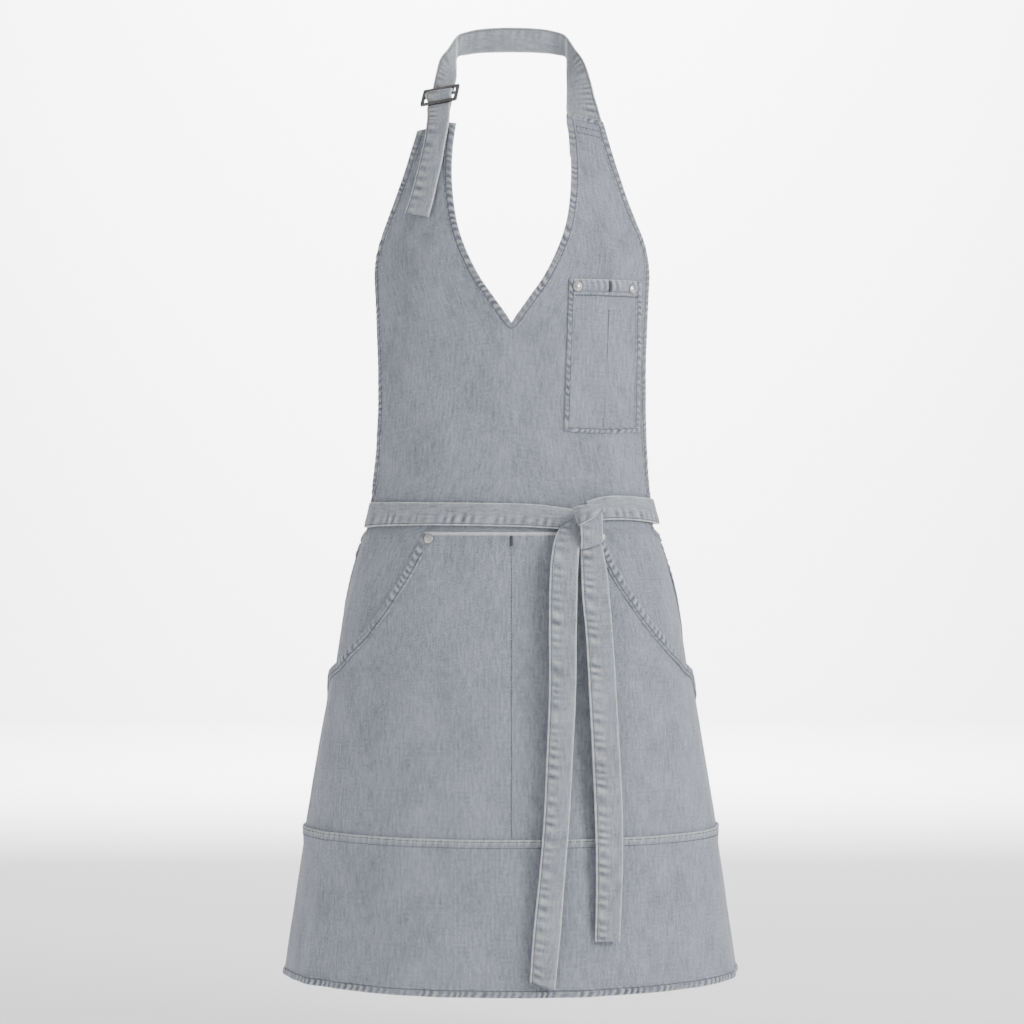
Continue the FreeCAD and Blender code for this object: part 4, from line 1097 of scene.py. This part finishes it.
# Each rivet: the body it goes with, how far across, its level and how far out.
RIVETS = {
    "chest_rivet_left": ("bib", 0.0660, -0.2745, 0.0054),
    "chest_rivet_right": ("bib", 0.1235, -0.2745, 0.0054),
    "waist_rivet_left": ("skirt", -0.0835, -0.5275, 0.0052),
    "waist_rivet_right": ("skirt", 0.0900, -0.5260, 0.0052),
}
for name, (body, across, level, out) in RIVETS.items():
    outline = [(radius, 0, height) for radius, height in RIVET_SIDE + SHANK]
    rivet = new_piece(f"{name}_metal", outline, [], [(k, k + 1) for k in range(len(outline) - 1)])
    bpy.ops.object.mode_set(mode="EDIT")
    bpy.ops.mesh.select_all(action="SELECT")
    bpy.ops.mesh.spin(steps=32, angle=2 * math.pi, center=(0, 0, 0), axis=(0, 0, 1))
    bpy.ops.mesh.select_all(action="SELECT")
    bpy.ops.mesh.remove_doubles(threshold=0.00001)
    bpy.ops.mesh.normals_make_consistent(inside=False)
    bpy.ops.object.mode_set(mode="OBJECT")
    turn = turn_at(across, level, out)
    spot = on_cloth(turn, level, out)
    outward = normal_at(turn, level, out)
    rivet.data.transform(Matrix.Translation(spot) @ outward.to_track_quat("Z", "Y").to_matrix().to_4x4())
    bpy.ops.object.shade_smooth_by_angle(angle=math.radians(50))
    finish_with(rivet, nickel)
    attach(rivet, body)
    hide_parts(f"{name}_cap", f"{name}_post")

# Each bar tack: the body it goes with, how far across, its top and foot, and how far out.
TACKS = {
    "chest_pocket_bartack": ("bib", 0.1000, -0.2685, -0.2785, 0.0068),
    "waist_pocket_bartack": ("skirt", 0.0, -0.5245, -0.5345, 0.0040),
}
TACK_TURNS, TACK_HALF = 14, 0.0011
for name, (body, across, top, foot, out) in TACKS.items():
    zigzag = []
    for k in range(TACK_TURNS + 1):
        level = top + (foot - top) * k / TACK_TURNS
        reach = TACK_HALF if k % 2 else -TACK_HALF
        zigzag.append((turn_at(across + reach, level, out), level))
    spots, normals = seam_on_cloth(zigzag, out)
    legs = [(spots[k:k + 2], normals[k:k + 2]) for k in range(len(spots) - 1)]
    tack = sewn(f"{name}_thread", legs, long=0.0030, step=0.0022, thick=0.0006)
    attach(tack, body)
    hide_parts(name)

# ---------------------------------------------------------------- room, light and camera
# A pale floor under the hem, a pale wall behind, one large soft light from the wearer's left and a fill.

bpy.ops.mesh.primitive_plane_add(size=14, location=(0, 0, -1.075))
floor = bpy.context.active_object
floor.name = "floor"
bpy.ops.mesh.primitive_plane_add(size=14, location=(0, 5.0, 2.0), rotation=(math.pi / 2, 0, 0))
backdrop = bpy.context.active_object
backdrop.name = "backdrop"
pale, tree, shader = plain_finish("pale_paper")
feed(tree, shader, {"Base Color": (0.93, 0.93, 0.93, 1), "Roughness": 0.9})
for ground in (floor, backdrop):
    ground.data.materials.append(pale)

world = bpy.data.worlds.new("studio")
world.use_nodes = True
feed(world.node_tree, world.node_tree.nodes["Background"], {"Color": (1, 1, 1, 1), "Strength": 0.80})
bpy.context.scene.world = world
LIGHTS = [
    ("key", (2.3, -1.9, 0.7), 1.3, 74),
    ("fill", (-2.4, -2.4, 0.2), 2.6, 10),
    ("rim", (0.4, 2.4, 1.6), 2.0, 45),
    ("wall_wash", (0, 3.0, 1.5), 3.0, 620),
]
for name, place, size, power in LIGHTS:
    lamp = bpy.data.lights.new(name, "AREA")
    lamp.size = size
    lamp.energy = power
    light = bpy.data.objects.new(name, lamp)
    light.location = place
    aim = Vector((0, 6, 0)) if name == "wall_wash" else Vector((0, -0.08, -0.5))
    light.rotation_euler = (aim - Vector(place)).to_track_quat("-Z", "Y").to_euler()
    bpy.context.scene.collection.objects.link(light)

lens = bpy.data.cameras.new("camera")
lens.lens = 105.47
lens.sensor_width = 36
camera = bpy.data.objects.new("camera", lens)
camera.location = (0.0005, -3.18, -0.5005)
camera.rotation_euler = (math.pi / 2, 0, 0)
bpy.context.scene.collection.objects.link(camera)
bpy.context.scene.camera = camera
